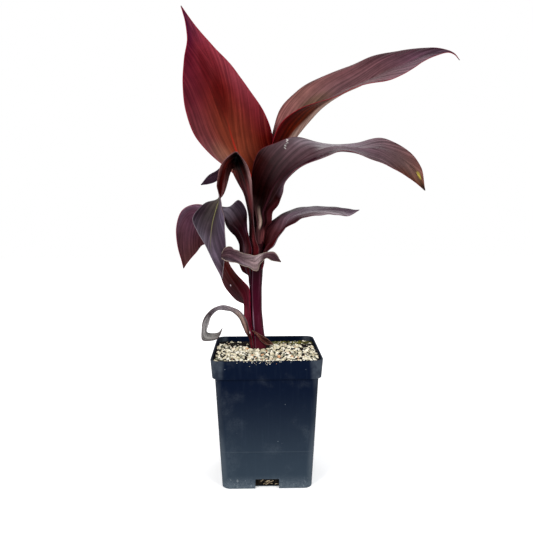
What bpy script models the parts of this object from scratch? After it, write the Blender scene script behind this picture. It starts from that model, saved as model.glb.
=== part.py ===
# Canna lily growing in a square nursery pot.
# The pot's foot stands on z = 0, +Z is up and the front of the plant faces -Y.
# Sizes below are in millimetres and MM turns them into metres.
import math

import bmesh
import bpy
import numpy as np

MM = 0.001
NAME = "canna_lily_plant"

# Square pot: a tapered body with a stepped skirt under its rim
POT_HEIGHT = 135.0
POT_RIM_WIDTH = 112.0
POT_SKIRT_HEIGHT = 19.0
POT_SKIRT_FOOT_WIDTH = 109.0
POT_SHOULDER_WIDTH = 104.0
POT_FOOT_WIDTH = 92.0
POT_WALL = 1.8
POT_FLOOR = 2.2
POT_CORNER = 9.0
POT_LEDGE = 2.0
DRAIN_WIDTH = 24.0
DRAIN_HEIGHT = 8.0
DRAIN_DEPTH = 5.0
CORNER_SEGMENTS = 4
OVERCUT = 2.0

# Soil and the loose grit on it
SOIL_TOP = 127.5
GRIT_FRONT = 133.0
GRIT_BACK = 129.5
GRIT_BACK_EDGE = 40.0
GRIT_EDGE_WAVE = 3.5
GRIT_EDGE_PERIOD = 9.0
GRIT_EDGE_SLANT = 0.08
GRIT_SLOPE_POWER = 4
GRIT_CELLS = 30
STONE_PITCH = 7.0
STONE_RADIUS = 5.2
STONE_RISE = 2.4
STONE_RISE_AT_BACK = 0.4
STONE_SCATTER = 0.4
STONE_SEED = 11
GAP = 0.3

# False stem: height, centre x, centre y and radius
STEM = [
    (95.0, -7.0, 12.0, 7.6),
    (118.0, -7.0, 12.0, 8.6),
    (134.0, -7.4, 12.0, 8.3),
    (152.0, -9.0, 12.0, 7.2),
    (174.0, -10.4, 12.0, 6.6),
    (198.0, -10.8, 12.0, 7.0),
    (221.0, -9.7, 12.0, 7.4),
    (239.0, -8.0, 12.0, 6.9),
    (261.0, -5.7, 12.0, 6.0),
    (277.0, -4.7, 12.0, 5.4),
    (293.0, -4.5, 12.0, 4.6),
    (304.0, -4.4, 12.0, 2.6),
]
STEM_RINGS = 22
STEM_BORE_IN_GRIT = 4.2
STEM_BORE_BELOW = 5.0
TUBE_RESOLUTION = 2

# Rhizome: a lumpy underground stem lying across the pot
RHIZOME_START = (-34.0, 2.0, 78.0)
RHIZOME_END = (26.0, 24.0, 84.0)
RHIZOME_RADIUS = 13.0
RHIZOME_LUMPS = 3
RHIZOME_LUMP_DEPTH = 0.18
RHIZOME_END_RADIUS = 0.25
RHIZOME_BLUNTNESS = 8
RHIZOME_RINGS = 16

# Leaf blades: thickness of the web; each leaf gives that of its midrib, a ridge underneath
BLADE = 0.75
ROWS_PER_LEAF = 24
CELLS_PER_HALF = 4
TIP_HALF_WIDTH = 1.0
SHEATH_GAP = 0.4
CURVE_STEPS = 12

# Ripple along a blade's margins, and the midrib's ridge, which fades where a blade is narrow
RIPPLE_TURNS = 31.0
RIPPLE_LAG = 1.3
RIPPLE_FULL_WIDTH = 10.0
RIDGE_SHARE = 0.25
RIDGE_FADE_START = 4.0
RIDGE_FADE_SPAN = 8.0

# Each leaf: sheath rows round the stem as (height, direction, half angle), then free rows
# from stem to tip, each the left margin, midrib and right margin as seen from the underside.
# The crown is how far each half bows out of flat, as a part of its width, and the layer is
# how far out an outer sheath lies over the one inside it.
LEAVES = {
    "leaf_upright": dict(
        sheath=[(283.0, 140.0, 40.0), (297.0, 140.0, 42.0)],
        crown=0.05, wave=0.6, midrib=1.8,
        rows=[
            ((-4.5, 18, 308.5), (-12, 19, 312.5), (-20.5, 13, 307)),
            ((1, 20, 331), (-18.5, 29, 326.5), (-36, 24, 324)),
            ((5.5, 18, 351), (-29.5, 34, 343.5), (-56.5, 24, 340)),
            ((6, 16, 370.5), (-38, 35, 369.5), (-74.5, 22, 361)),
            ((-4, 16, 391.5), (-43.5, 35, 394.5), (-84.5, 20, 387)),
            ((-20, 18, 415), (-49.5, 35, 420.5), (-87.5, 22, 416)),
            ((-38, 24, 439.5), (-59.5, 35, 444), (-86.5, 27, 443.5)),
            ((-57.5, 29, 461), (-71, 35, 464), (-83, 30, 465.5)),
            ((-74.5, 33, 481), (-80.5, 35, 484), (-85.5, 33, 485.5)),
        ],
        tip=(-89.5, 34.5, 501.5)),
    "leaf_long": dict(
        sheath=[(285.0, 30.0, 38.0), (298.0, 30.0, 40.0)],
        crown=0.06, wave=0.5, midrib=1.8,
        rows=[
            ((5, 11, 321.5), (7.5, 18, 320), (1, 25, 324)),
            ((7, 2, 348.5), (19, 12, 339.5), (6, 30, 348)),
            ((14, -8, 368.5), (33, 10, 360), (9.5, 32, 370)),
            ((32, -16, 382), (45.5, 8, 375), (18, 32, 394)),
            ((52.5, -24, 388.5), (59.5, 4, 389), (35.5, 30, 411.5)),
            ((74, -32, 394.5), (79, 0, 401.5), (60, 27, 424.5)),
            ((94, -36, 402), (100, -4, 410.5), (88.5, 22, 435)),
            ((116, -36, 406.5), (120.5, -8, 421.5), (114, 16, 443.5)),
            ((136, -32, 413.5), (142, -12, 429.5), (140.5, 6, 447)),
            ((158.5, -24, 429), (162.5, -14, 437), (164.5, -4, 447)),
            ((182, -17, 436.5), (182.5, -15, 438.5), (183, -13, 441)),
        ],
        tip=(196, -15, 431.5)),
    "leaf_twisted": dict(
        sheath=[(244.0, 295.0, 48.0), (260.0, 295.0, 62.0)],
        crown=0.08, wave=0.5, midrib=1.6,
        rows=[
            ((-9, 5, 269.5), (-1.5, 1, 269.5), (6.5, 5, 269.5)),
            ((-12, 7, 285.5), (-2.5, -3, 280), (8, 3, 280)),
            ((-14, 6, 301), (2.5, -9, 292), (14, -9, 288.5)),
            ((-13.5, 5, 322), (9.5, -12, 306), (17, -24, 299)),
            ((-6.5, -2, 343), (20, -15, 318), (19, -36, 309.5)),
            ((11, -6, 351), (32, -18, 328), (28.5, -42, 319.5)),
            ((29.5, -8, 356.5), (46, -21, 336.5), (45, -46, 328)),
            ((54, -2, 352), (61.5, -23, 343), (60.5, -48, 333.5)),
            ((76.5, 2, 350.5), (74.5, -24, 344), (73.5, -50, 337.5)),
            ((97, 0, 351.5), (94.5, -26, 342.5), (91, -50, 333.5)),
            ((122.5, -8, 355), (116, -28, 340.5), (111, -46, 326.5)),
            ((145.5, -16, 341), (136.5, -30, 329.5), (128.5, -42, 318.5)),
            ((156.5, -24, 323), (149.5, -31, 315.5), (142, -36, 312.5)),
        ],
        tip=(158.5, -32, 300.5)),
    "leaf_kinked": dict(
        sheath=[(214.0, 246.0, 26.0), (236.0, 247.0, 26.0)],
        crown=0.06, wave=0.4, midrib=1.8,
        rows=[
            ((-15, 5, 250.5), (-12.5, 0.5, 250.5), (-10, 0, 250.5)),
            ((-17.5, 8, 269.5), (-13.5, 0, 269.5), (-12, -6, 269.5)),
            ((-20.5, 9, 294), (-16, -3, 292.5), (-13.5, -12, 295)),
            ((-28.5, 12, 310), (-20, -5, 313), (-14.5, -20, 313.5)),
            ((-34.5, 16, 322), (-24, -8, 325), (-18.5, -24, 328.5)),
            ((-34.5, 11, 326.5), (-29, -11, 337.5), (-29, -30, 338)),
            ((-36, 7, 324.5), (-39, -15, 330.5), (-44, -32, 326.5)),
            ((-39.5, 4, 311.5), (-44.5, -16, 314), (-48.5, -34, 308)),
            ((-44.5, 0, 298), (-46, -16, 302), (-48, -32, 301)),
            ((-51, 2, 293.5), (-47, -17, 293), (-44.5, -36, 291)),
            ((-64.5, 0, 289.5), (-49.5, -16, 286), (-43, -38, 283)),
            ((-76, -4, 275), (-53.5, -15, 273), (-41.5, -36, 275.5)),
            ((-71, -8, 260.5), (-56, -14, 260.5), (-41.5, -28, 260.5)),
            ((-62, -8, 243.5), (-57, -12, 244), (-41, -19, 244)),
            ((-55, -8, 228), (-53.5, -10, 229), (-43, -13, 228)),
            ((-48.5, -7, 215), (-47.5, -7.5, 215.5), (-45, -8, 215.5)),
        ],
        tip=(-46, -6, 209.5)),
    "leaf_lower_left": dict(
        sheath=[(128.2, 190.0, 38.0), (146.0, 190.0, 38.0)],
        crown=0.06, wave=0.5, midrib=1.7,
        rows=[
            ((-19.5, 17, 157.5), (-23.5, 12, 158.5), (-18.5, 7, 159.5)),
            ((-19.5, 18, 177.5), (-24, 13, 178), (-18.5, 6, 181.5)),
            ((-24.5, 25, 179), (-24.5, 15, 189), (-19, 6, 201)),
            ((-34.5, 34, 183.5), (-30, 19, 198.5), (-23.5, 6, 208.5)),
            ((-45.5, 38, 195.5), (-39, 24, 211), (-33, 8, 218)),
            ((-52, 41, 212), (-48, 28, 228.5), (-41.5, 10, 233)),
            ((-57, 43, 228), (-58, 30, 249.5), (-49, 14, 258)),
            ((-62.5, 44, 238), (-69, 32, 269.5), (-58.5, 18, 282.5)),
            ((-67, 43, 243.5), (-79.5, 30, 279.5), (-74, 18, 288.5)),
            ((-71, 39, 243), (-87, 26, 272), (-90, 16, 282.5)),
            ((-77, 31, 235.5), (-92, 22, 254.5), (-96.5, 14, 263.5)),
            ((-84, 22, 227), (-92, 18, 237), (-94.5, 14, 243)),
        ],
        tip=(-89, 14, 219.5)),
    "leaf_cupped": dict(
        sheath=[(214.0, 182.0, 24.0), (228.0, 182.0, 24.0)],
        crown=0.1, wave=0.3, midrib=1.8,
        rows=[
            ((-27, 13, 240.5), (-22.5, 6, 240.5), (-18.5, 3, 246)),
            ((-29.5, 14, 250), (-23.5, 4, 250.5), (-19.5, -6, 257)),
            ((-36, 14, 257.5), (-28, 4, 261), (-19, -12, 267.5)),
            ((-41, 14, 264), (-34.5, 4, 267.5), (-19.5, -12, 280.5)),
            ((-44, 14, 273), (-40.5, 4, 274), (-27.5, -10, 292.5)),
            ((-49.5, 12, 278), (-49, 5, 280), (-38, -4, 286)),
            ((-56, 10, 277), (-58, 7, 281.5), (-53, 2, 286)),
        ],
        tip=(-64.5, 9, 278.5)),
    "leaf_back": dict(
        sheath=[(246.0, 150.0, 34.0), (258.0, 150.0, 36.0)],
        crown=0.08, wave=0.3, midrib=1.6, count=18,
        rows=[
            ((-10, 25, 280.5), (-15.5, 21, 279.5), (-17, 15, 277)),
            ((-12, 31, 297), (-16.5, 27, 296), (-18.5, 20, 293.5)),
            ((-20, 40, 312), (-20, 35, 315), (-17.5, 29, 318)),
            ((-30, 48, 321.5), (-25.5, 44, 329), (-22, 40, 335.5)),
            ((-42, 56, 327), (-39, 50, 336.5), (-38, 46, 342.5)),
            ((-56, 56, 315.5), (-54, 52, 324.5), (-52.5, 48, 329)),
            ((-65, 54, 312.5), (-64.5, 51, 317.5), (-64, 48, 321.5)),
        ],
        tip=(-72.5, 50, 311.5)),
    "leaf_small_right": dict(
        sheath=[(216.0, 345.0, 30.0), (230.0, 345.0, 32.0)],
        crown=0.08, wave=0.3, midrib=1.8,
        rows=[
            ((0.5, 0, 243), (8, 6, 244), (3, 13, 248)),
            ((8, -4, 252.5), (13, 3, 253.5), (5, 13, 261)),
            ((16, -9, 260.5), (19.5, 0, 262.5), (9, 13, 270.5)),
            ((28, -14, 268), (26, -1, 274), (17, 16, 277.5)),
            ((39, -18, 274), (40.5, -3, 279.5), (35.5, 16, 285)),
            ((55.5, -20, 277), (58, -5, 281.5), (56, 14, 286)),
            ((72.5, -20, 277), (76.5, -8, 281), (78, 8, 285)),
            ((85.5, -16, 276), (88.5, -10, 280), (90, -2, 282.5)),
        ],
        tip=(97, -12, 282)),
    "withered_leaf": dict(
        sheath=[],
        crown=0.12, wave=0.7, midrib=1.2, count=18,
        rows=[
            ((-45, -23.75, 239), (-45.5, -24.75, 236), (-45, -25.75, 233.5)),
            ((-42.5, -20.75, 243.5), (-43, -24.75, 237), (-42.5, -26.75, 231.5)),
            ((-36.5, -16.75, 245), (-36.5, -21.75, 237), (-36.5, -24.75, 229.5)),
            ((-32, -11.75, 241.5), (-30.5, -16.75, 234.5), (-29.5, -19.75, 227.5)),
            ((-24, -4.75, 237.5), (-20.5, -9.75, 230), (-19.5, -12.75, 223)),
            ((-12.5, 0.25, 234.5), (-11.5, -2.75, 227.5), (-9, -6.75, 218.5)),
            ((-4, 2.25, 236.5), (-5, 2.25, 231.5), (-6, -1.75, 225)),
            ((1.5, 1.25, 238), (0.5, 1.25, 234.5), (0.5, -0.75, 231)),
            ((10, 1.25, 237.5), (9, 0.25, 233.5), (6.5, 0.25, 228.5)),
        ],
        tip=(16.5, 1.25, 227)),
    "withered_curl": dict(
        sheath=[(128.2, 216.0, 18.0), (138.0, 214.0, 18.0)],
        crown=0.1, wave=0.6, midrib=1.0, layer=1.3,
        rows=[
            ((-22, 0, 151), (-20, -3.5, 151.5), (-17, -5, 152)),
            ((-27, 4, 163.5), (-25, -2, 165.5), (-21, -6, 167)),
            ((-34.5, 8, 171), (-32, 1, 174), (-29.5, -4, 177.5)),
            ((-42, 6, 175), (-41.5, -1, 179), (-41, -6, 181.5)),
            ((-50, 4, 175.5), (-49.5, -3, 178.5), (-49.5, -8, 182)),
            ((-56.5, 2, 171.5), (-58, -5, 175.5), (-58.5, -10, 178)),
            ((-60.5, 0, 165.5), (-62.5, -7, 168), (-64.5, -12, 170.5)),
            ((-63, -1, 156), (-65.5, -9, 158.5), (-67.5, -15, 158.5)),
            ((-62, -2, 152), (-64, -10, 150.5), (-67, -16, 147)),
            ((-56.5, -2, 151), (-57, -9, 149), (-57.5, -15, 146)),
            ((-50.5, -2, 152), (-49, -7, 151.5), (-50, -11, 149)),
        ],
        tip=(-46, -5, 158)),
    "dry_sheath": dict(
        sheath=[],
        crown=0.0, wave=0.0, midrib=0.8, count=9,
        rows=[
            ((-9.2, 4.1, 150), (-9.2, 3.9, 146), (-9.2, 3.7, 141)),
            ((-5.7, 4.3, 149), (-5.7, 4.1, 144.5), (-5.7, 3.9, 138)),
            ((-2.2, 5.9, 146.5), (-1.8, 5.4, 142), (-1.4, 5.1, 136.6)),
            ((1.5, 7.3, 143), (2, 6.7, 139.5), (2, 5.9, 136.2)),
            ((5, 7.3, 139.5), (5, 6.5, 138), (5, 5.7, 136.4)),
        ],
        tip=(8, 5.9, 136.4)),
}

# Surface colours as linear red, green, blue, with a roughness
COLOURS = {
    "pot": (0.012, 0.02, 0.032, 0.4),
    "soil": (0.022, 0.014, 0.009, 0.95),
    "grit": (0.5, 0.43, 0.33, 0.85),
    "rhizome": (0.45, 0.33, 0.2, 0.8),
    "stem": (0.095, 0.009, 0.022, 0.38),
    "leaf_upright": (0.13, 0.035, 0.025, 0.4),
    "leaf_long": (0.12, 0.075, 0.085, 0.38),
    "leaf_twisted": (0.085, 0.05, 0.065, 0.36),
    "leaf_kinked": (0.09, 0.05, 0.065, 0.38),
    "leaf_lower_left": (0.085, 0.022, 0.035, 0.4),
    "leaf_cupped": (0.06, 0.025, 0.04, 0.38),
    "leaf_back": (0.05, 0.018, 0.032, 0.4),
    "leaf_small_right": (0.08, 0.035, 0.055, 0.38),
    "withered_leaf": (0.2, 0.135, 0.13, 0.8),
    "withered_curl": (0.22, 0.14, 0.12, 0.75),
    "dry_sheath": (0.1, 0.045, 0.03, 0.8),
}


def new_collection(name):
    collection = bpy.data.collections.new(name)
    bpy.context.scene.collection.children.link(collection)
    return collection


def new_material(name):
    red, green, blue, roughness = COLOURS[name]
    material = bpy.data.materials.new(name)
    material.use_nodes = True
    shader = material.node_tree.nodes["Principled BSDF"]
    shader.inputs["Base Color"].default_value = (red, green, blue, 1.0)
    shader.inputs["Roughness"].default_value = roughness
    return material


def mesh_object(name, mesh, collection, material=None):
    thing = bpy.data.objects.new(name, mesh)
    collection.objects.link(thing)
    if material:
        mesh.materials.append(material)
    return thing


def hide_helper(thing):
    thing.hide_render = True
    thing.display_type = 'WIRE'


def boolean(thing, cutter, operation='DIFFERENCE'):
    modifier = thing.modifiers.new(operation.lower() + "_" + cutter.name, 'BOOLEAN')
    modifier.operation = operation
    modifier.object = cutter


def smooth_rows(control, count):
    """Even rows along a smooth curve through the control rows, spaced by the middle point."""
    control = np.asarray(control, dtype=float)
    ends = [2 * control[0] - control[1], 2 * control[-1] - control[-2]]
    padded = np.concatenate([ends[:1], control, ends[1:]])
    fine = []
    for i in range(len(control) - 1):
        p0, p1, p2, p3 = padded[i:i + 4]
        for t in np.linspace(0, 1, CURVE_STEPS, endpoint=False):
            fine.append(0.5 * (2 * p1 + (p2 - p0) * t + (2 * p0 - 5 * p1 + 4 * p2 - p3) * t ** 2
                               + (3 * p1 - p0 - 3 * p2 + p3) * t ** 3))
    fine.append(control[-1])
    fine = np.array(fine)
    middle = fine[:, fine.shape[1] // 2]
    steps = np.linalg.norm(np.diff(middle, axis=0), axis=1)
    travelled = np.concatenate([[0], np.cumsum(steps)])
    wanted = np.linspace(0, travelled[-1], count)
    flat = fine.reshape(len(fine), -1)
    even = [np.interp(wanted, travelled, column) for column in flat.T]
    return np.array(even).T.reshape(count, *fine.shape[1:])


def stem_at(height):
    """Centre x, centre y and radius of the false stem at a height."""
    table = np.array(STEM)
    return [float(np.interp(height, table[:, 0], table[:, k])) for k in (1, 2, 3)]


def sheath_point(height, direction, turn, layer):
    """A point of a sheath that hugs the stem, turned away from the sheath's middle."""
    x, y, radius = stem_at(height)
    angle = math.radians(direction + turn)
    reach = radius + SHEATH_GAP + layer
    return np.array((x + reach * math.cos(angle), y + reach * math.sin(angle), height))


def tapered_box(name, half_foot, half_top, foot, top, corner, collection, material=None):
    """A square block with rounded upright edges, narrower at its foot."""
    bm = bmesh.new()
    bmesh.ops.create_cube(bm, size=2.0)
    upright = [e for e in bm.edges if abs(e.verts[0].co.z - e.verts[1].co.z) > 1]
    bmesh.ops.bevel(bm, geom=upright, offset=corner / half_top, offset_type='OFFSET',
                    segments=CORNER_SEGMENTS, profile=0.5, affect='EDGES')
    for vert in bm.verts:
        high = vert.co.z > 0
        half = half_top if high else half_foot
        vert.co.x *= half * MM
        vert.co.y *= half * MM
        vert.co.z = (top if high else foot) * MM
    mesh = bpy.data.meshes.new(name)
    bm.to_mesh(mesh)
    bm.free()
    return mesh_object(name, mesh, collection, material)


def box_helper(name, low, high, collection):
    bm = bmesh.new()
    bmesh.ops.create_cube(bm, size=1.0)
    for vert in bm.verts:
        for k in range(3):
            vert.co[k] = (high[k] if vert.co[k] > 0 else low[k]) * MM
    mesh = bpy.data.meshes.new(name)
    bm.to_mesh(mesh)
    bm.free()
    helper = mesh_object(name, mesh, collection)
    hide_helper(helper)
    return helper


def tube(name, rows, collection, material=None, as_mesh=False):
    """A round tube along rows of x, y, z and radius, with closed ends."""
    curve = bpy.data.curves.new(name, 'CURVE')
    curve.dimensions = '3D'
    curve.bevel_depth = MM
    curve.bevel_resolution = TUBE_RESOLUTION
    curve.use_fill_caps = True
    spline = curve.splines.new('POLY')
    spline.points.add(len(rows) - 1)
    for point, (x, y, z, radius) in zip(spline.points, rows):
        point.co = (x * MM, y * MM, z * MM, 1.0)
        point.radius = radius
    thing = mesh_object(name, curve, collection, material)
    if not as_mesh:
        return thing
    evaluated = thing.evaluated_get(bpy.context.evaluated_depsgraph_get())
    mesh = bpy.data.meshes.new_from_object(evaluated)
    bpy.data.objects.remove(thing)
    bm = bmesh.new()
    bm.from_mesh(mesh)
    bmesh.ops.remove_doubles(bm, verts=bm.verts, dist=1e-6)
    bm.to_mesh(mesh)
    bm.free()
    mesh.name = name
    return mesh_object(name, mesh, collection)


def make_pot(parts, helpers):
    shoulder = POT_HEIGHT - POT_SKIRT_HEIGHT
    pot = tapered_box("pot", POT_FOOT_WIDTH / 2, POT_SHOULDER_WIDTH / 2, 0.0, shoulder + 1,
                      POT_CORNER, parts, new_material("pot"))
    skirt = tapered_box("pot_skirt_form", POT_SKIRT_FOOT_WIDTH / 2, POT_RIM_WIDTH / 2,
                        shoulder, POT_HEIGHT, POT_CORNER + 1, helpers)
    lower, upper = pot_inside(helpers, 0.0, "cavity")
    for helper in (skirt, lower, upper):
        hide_helper(helper)
    boolean(pot, skirt, 'UNION')
    boolean(pot, lower)
    boolean(pot, upper)
    reach = POT_FOOT_WIDTH / 2
    for k, (dx, dy) in enumerate([(0, -1), (0, 1), (-1, 0), (1, 0)]):
        near = reach - DRAIN_DEPTH
        far = reach + DRAIN_DEPTH
        half = DRAIN_WIDTH / 2
        spans = {}
        for axis, step in (("x", dx), ("y", dy)):
            spans[axis] = (-half, half) if step == 0 else tuple(sorted((step * near, step * far)))
        low = (spans["x"][0], spans["y"][0], -OVERCUT)
        high = (spans["x"][1], spans["y"][1], DRAIN_HEIGHT)
        boolean(pot, box_helper(f"drain_{k}", low, high, helpers))
    return pot


def inner_half(height):
    """Half the inside width of the pot's body at a height."""
    shoulder = POT_HEIGHT - POT_SKIRT_HEIGHT
    foot, top = POT_FOOT_WIDTH / 2, POT_SHOULDER_WIDTH / 2
    return foot + (top - foot) * height / shoulder - POT_WALL


def rim_half(height):
    """Half the inside width behind the rim's skirt at a height."""
    low = POT_HEIGHT - POT_SKIRT_HEIGHT
    foot, top = POT_SKIRT_FOOT_WIDTH / 2, POT_RIM_WIDTH / 2
    return foot + (top - foot) * (height - low) / POT_SKIRT_HEIGHT - POT_WALL


def pot_inside(collection, clearance, name, top=POT_HEIGHT + OVERCUT):
    """The pot's inside as two stacked blocks, held back by a clearance."""
    ledge = POT_HEIGHT - POT_SKIRT_HEIGHT + POT_LEDGE
    foot = POT_FLOOR + clearance
    lower = tapered_box(name + "_lower", inner_half(foot) - clearance,
                        inner_half(ledge) - clearance, foot, ledge + clearance + GAP,
                        POT_CORNER - POT_WALL, collection)
    upper = tapered_box(name + "_upper", rim_half(ledge) - clearance, rim_half(top) - clearance,
                        ledge + clearance, top, POT_CORNER - 1, collection)
    return lower, upper


def stem_rows(extra=0.0, foot=None, top=None):
    heights = np.linspace(foot or STEM[0][0], top or STEM[-1][0], STEM_RINGS)
    rows = []
    for height in heights:
        x, y, radius = stem_at(height)
        rows.append((x, y, height, radius + extra))
    return rows


def rhizome_rows(extra=0.0):
    start, end = np.array(RHIZOME_START), np.array(RHIZOME_END)
    beyond = (end - start) / np.linalg.norm(end - start) * extra
    start, end = start - beyond, end + beyond
    rows = []
    for t in np.linspace(0, 1, RHIZOME_RINGS):
        wave = (1 - math.cos(2 * math.pi * t * RHIZOME_LUMPS)) / 2
        lump = 1 - 2 * RHIZOME_LUMP_DEPTH * (1 - wave)
        blunt = math.sqrt(max(0.0, 1 - (2 * t - 1) ** RHIZOME_BLUNTNESS))
        share = RHIZOME_END_RADIUS + (1 - RHIZOME_END_RADIUS) * blunt
        x, y, z = start + (end - start) * t
        rows.append((x, y, z, RHIZOME_RADIUS * lump * share + extra))
    return rows


def make_soil(parts, helpers):
    soil, upper = pot_inside(parts, GAP, "soil", SOIL_TOP)
    soil.name = "soil"
    soil.data.name = "soil"
    soil.data.materials.append(new_material("soil"))
    helpers.objects.link(upper)
    parts.objects.unlink(upper)
    hide_helper(upper)
    boolean(soil, upper, 'UNION')
    bore = tube("soil_bore", stem_rows(GAP, STEM[0][0] - STEM_BORE_BELOW, SOIL_TOP + OVERCUT),
                helpers, None, True)
    hollow = tube("rhizome_hollow", rhizome_rows(GAP), helpers, None, True)
    for helper in (bore, hollow):
        hide_helper(helper)
        boolean(soil, helper)
    return soil


def grit_height(x, y, stones):
    """Height of the grit: a slope down to the back, with a dome for each stone."""
    slope = max(0.0, (y / GRIT_BACK_EDGE + 1) / 2)
    base = GRIT_FRONT + (GRIT_BACK - GRIT_FRONT) * slope ** GRIT_SLOPE_POWER
    distance = np.hypot(stones[:, 0] - x, stones[:, 1] - y)
    dome = np.clip(1 - (distance / STONE_RADIUS) ** 2, 0, None).max()
    rise = STONE_RISE_AT_BACK + (1 - STONE_RISE_AT_BACK) * max(0.0, 1 - slope)
    return base + STONE_RISE * rise * math.sqrt(dome)


def make_grit(parts, helpers):
    rng = np.random.default_rng(STONE_SEED)
    span = POT_RIM_WIDTH / 2
    ticks = np.arange(-span, span, STONE_PITCH)
    stones = np.array([(x, y) for x in ticks for y in ticks])
    stones += rng.uniform(-STONE_SCATTER, STONE_SCATTER, stones.shape) * STONE_PITCH
    bm = bmesh.new()
    bmesh.ops.create_grid(bm, x_segments=GRIT_CELLS, y_segments=GRIT_CELLS, size=1.0)
    for vert in bm.verts:
        x = vert.co.x * span
        back = GRIT_BACK_EDGE + GRIT_EDGE_WAVE * math.sin(x / GRIT_EDGE_PERIOD)
        back += GRIT_EDGE_SLANT * x
        y = -span + (vert.co.y + 1) / 2 * (back + span)
        vert.co = (x * MM, y * MM, grit_height(x, y, stones) * MM)
    top = bm.faces[:]
    raised = bmesh.ops.extrude_face_region(bm, geom=top)
    for element in raised["geom"]:
        if isinstance(element, bmesh.types.BMVert):
            element.co.z = (SOIL_TOP + GAP) * MM
    bmesh.ops.recalc_face_normals(bm, faces=bm.faces[:])
    floor = [f for f in bm.faces if f.normal.z < -0.99]
    bmesh.ops.dissolve_faces(bm, faces=floor)
    bmesh.ops.triangulate(bm, faces=bm.faces[:])
    mesh = bpy.data.meshes.new("grit")
    bm.to_mesh(mesh)
    bm.free()
    grit = mesh_object("grit", mesh, parts, new_material("grit"))
    low, high = SOIL_TOP - OVERCUT, POT_HEIGHT + OVERCUT
    inside = tapered_box("grit_inside", rim_half(low) - GAP, rim_half(high) - GAP, low, high,
                         POT_CORNER - 1, helpers)
    bore = tube("grit_bore", stem_rows(STEM_BORE_IN_GRIT, low - OVERCUT, high + OVERCUT),
                helpers, None, True)
    hide_helper(inside)
    hide_helper(bore)
    boolean(grit, inside, 'INTERSECT')
    boolean(grit, bore)
    return grit


def leaf_rows(leaf):
    """Even rows of left margin, midrib, right margin and how the row hugs the stem."""
    control = []
    layer = leaf.get("layer", 0.0)
    for height, direction, half_angle in leaf["sheath"]:
        turns = (-half_angle, 0, half_angle)
        points = [sheath_point(height, direction, turn, layer) for turn in turns]
        control.append(points + [(1.0, direction, half_angle)])
    direction, half_angle = leaf["sheath"][-1][1:] if leaf["sheath"] else (0.0, 0.0)
    for points in leaf["rows"]:
        control.append(list(points) + [(0.0, direction, half_angle)])
    left, middle, right = [np.array(point, dtype=float) for point in leaf["rows"][-1]]
    tip = np.array(leaf["tip"], dtype=float)
    ahead = (tip - middle) / np.linalg.norm(tip - middle)
    across = (right - left) - ahead * np.dot(right - left, ahead)
    across *= TIP_HALF_WIDTH / np.linalg.norm(across)
    control.append([tip - across, tip, tip + across, (0.0, direction, half_angle)])
    return smooth_rows(control, leaf.get("count", ROWS_PER_LEAF))


def blade_point(leaf, row, tangent, share, progress):
    """A point across a blade: share runs from -1 at the left margin to 1 at the right."""
    left, middle, right, (hug, direction, half_angle) = row
    hug = min(1.0, max(0.0, hug))
    reach = (right if share > 0 else left) - middle
    width = np.linalg.norm(reach)
    outward = np.cross(reach if share > 0 else -reach, tangent)
    outward /= np.linalg.norm(outward) + 1e-9
    s = abs(share)
    bow = 4 * s * (1 - s) * leaf["crown"] * width
    phase = progress * RIPPLE_TURNS + share * RIPPLE_LAG
    ripple = leaf["wave"] * s ** 2 * math.sin(phase) * min(1.0, width / RIPPLE_FULL_WIDTH)
    free = middle + reach * s + outward * (ripple - bow)
    layer = leaf.get("layer", 0.0)
    hugging = sheath_point(middle[2], direction, share * half_angle, layer)
    wide_enough = min(1.0, max(0.0, width - RIDGE_FADE_START) / RIDGE_FADE_SPAN)
    ridge = max(0.0, 1 - s / RIDGE_SHARE) * wide_enough * (1 - hug) * math.sqrt(1 - progress)
    return free * (1 - hug) + hugging * hug, ridge


def make_leaf(name, leaf, parts):
    rows = leaf_rows(leaf)
    tangents = np.gradient(rows[:, 1], axis=0)
    tangents /= np.linalg.norm(tangents, axis=1)[:, None]
    last = len(rows) - 1
    bm = bmesh.new()
    bmesh.ops.create_grid(bm, x_segments=2 * CELLS_PER_HALF, y_segments=last, size=1.0)
    ridges = []
    for vert in bm.verts:
        share = vert.co.x
        progress = (vert.co.y + 1) / 2
        index = round(progress * last)
        point, ridge = blade_point(leaf, rows[index], tangents[index], share, progress)
        vert.co = [value * MM for value in point]
        ridges.append(ridge)
    mesh = bpy.data.meshes.new(name)
    bm.to_mesh(mesh)
    bm.free()
    mesh.shade_smooth()
    thing = mesh_object(name, mesh, parts, new_material(name))
    group = thing.vertex_groups.new(name="midrib")
    for index, ridge in enumerate(ridges):
        group.add([index], ridge, 'REPLACE')
    split = thing.modifiers.new("split", 'TRIANGULATE')
    split.quad_method = 'FIXED'
    wall = thing.modifiers.new("thickness", 'SOLIDIFY')
    wall.thickness = leaf["midrib"] * MM
    wall.offset = 1.0
    wall.vertex_group = "midrib"
    wall.thickness_vertex_group = min(1.0, BLADE / leaf["midrib"])
    return thing


def main():
    for thing in list(bpy.data.objects):
        bpy.data.objects.remove(thing)
    parts = new_collection(NAME)
    helpers = new_collection("helpers")
    make_pot(parts, helpers)
    make_soil(parts, helpers)
    make_grit(parts, helpers)
    tube("rhizome", rhizome_rows(), parts, new_material("rhizome"))
    tube("stem", stem_rows(), parts, new_material("stem"))
    for name, leaf in LEAVES.items():
        make_leaf(name, leaf, parts)


main()
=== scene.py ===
# Canna lily growing in a square nursery pot: its looks, its light and the camera
import math

import bmesh
import bpy
import numpy as np
from mathutils import Matrix, Vector


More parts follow.
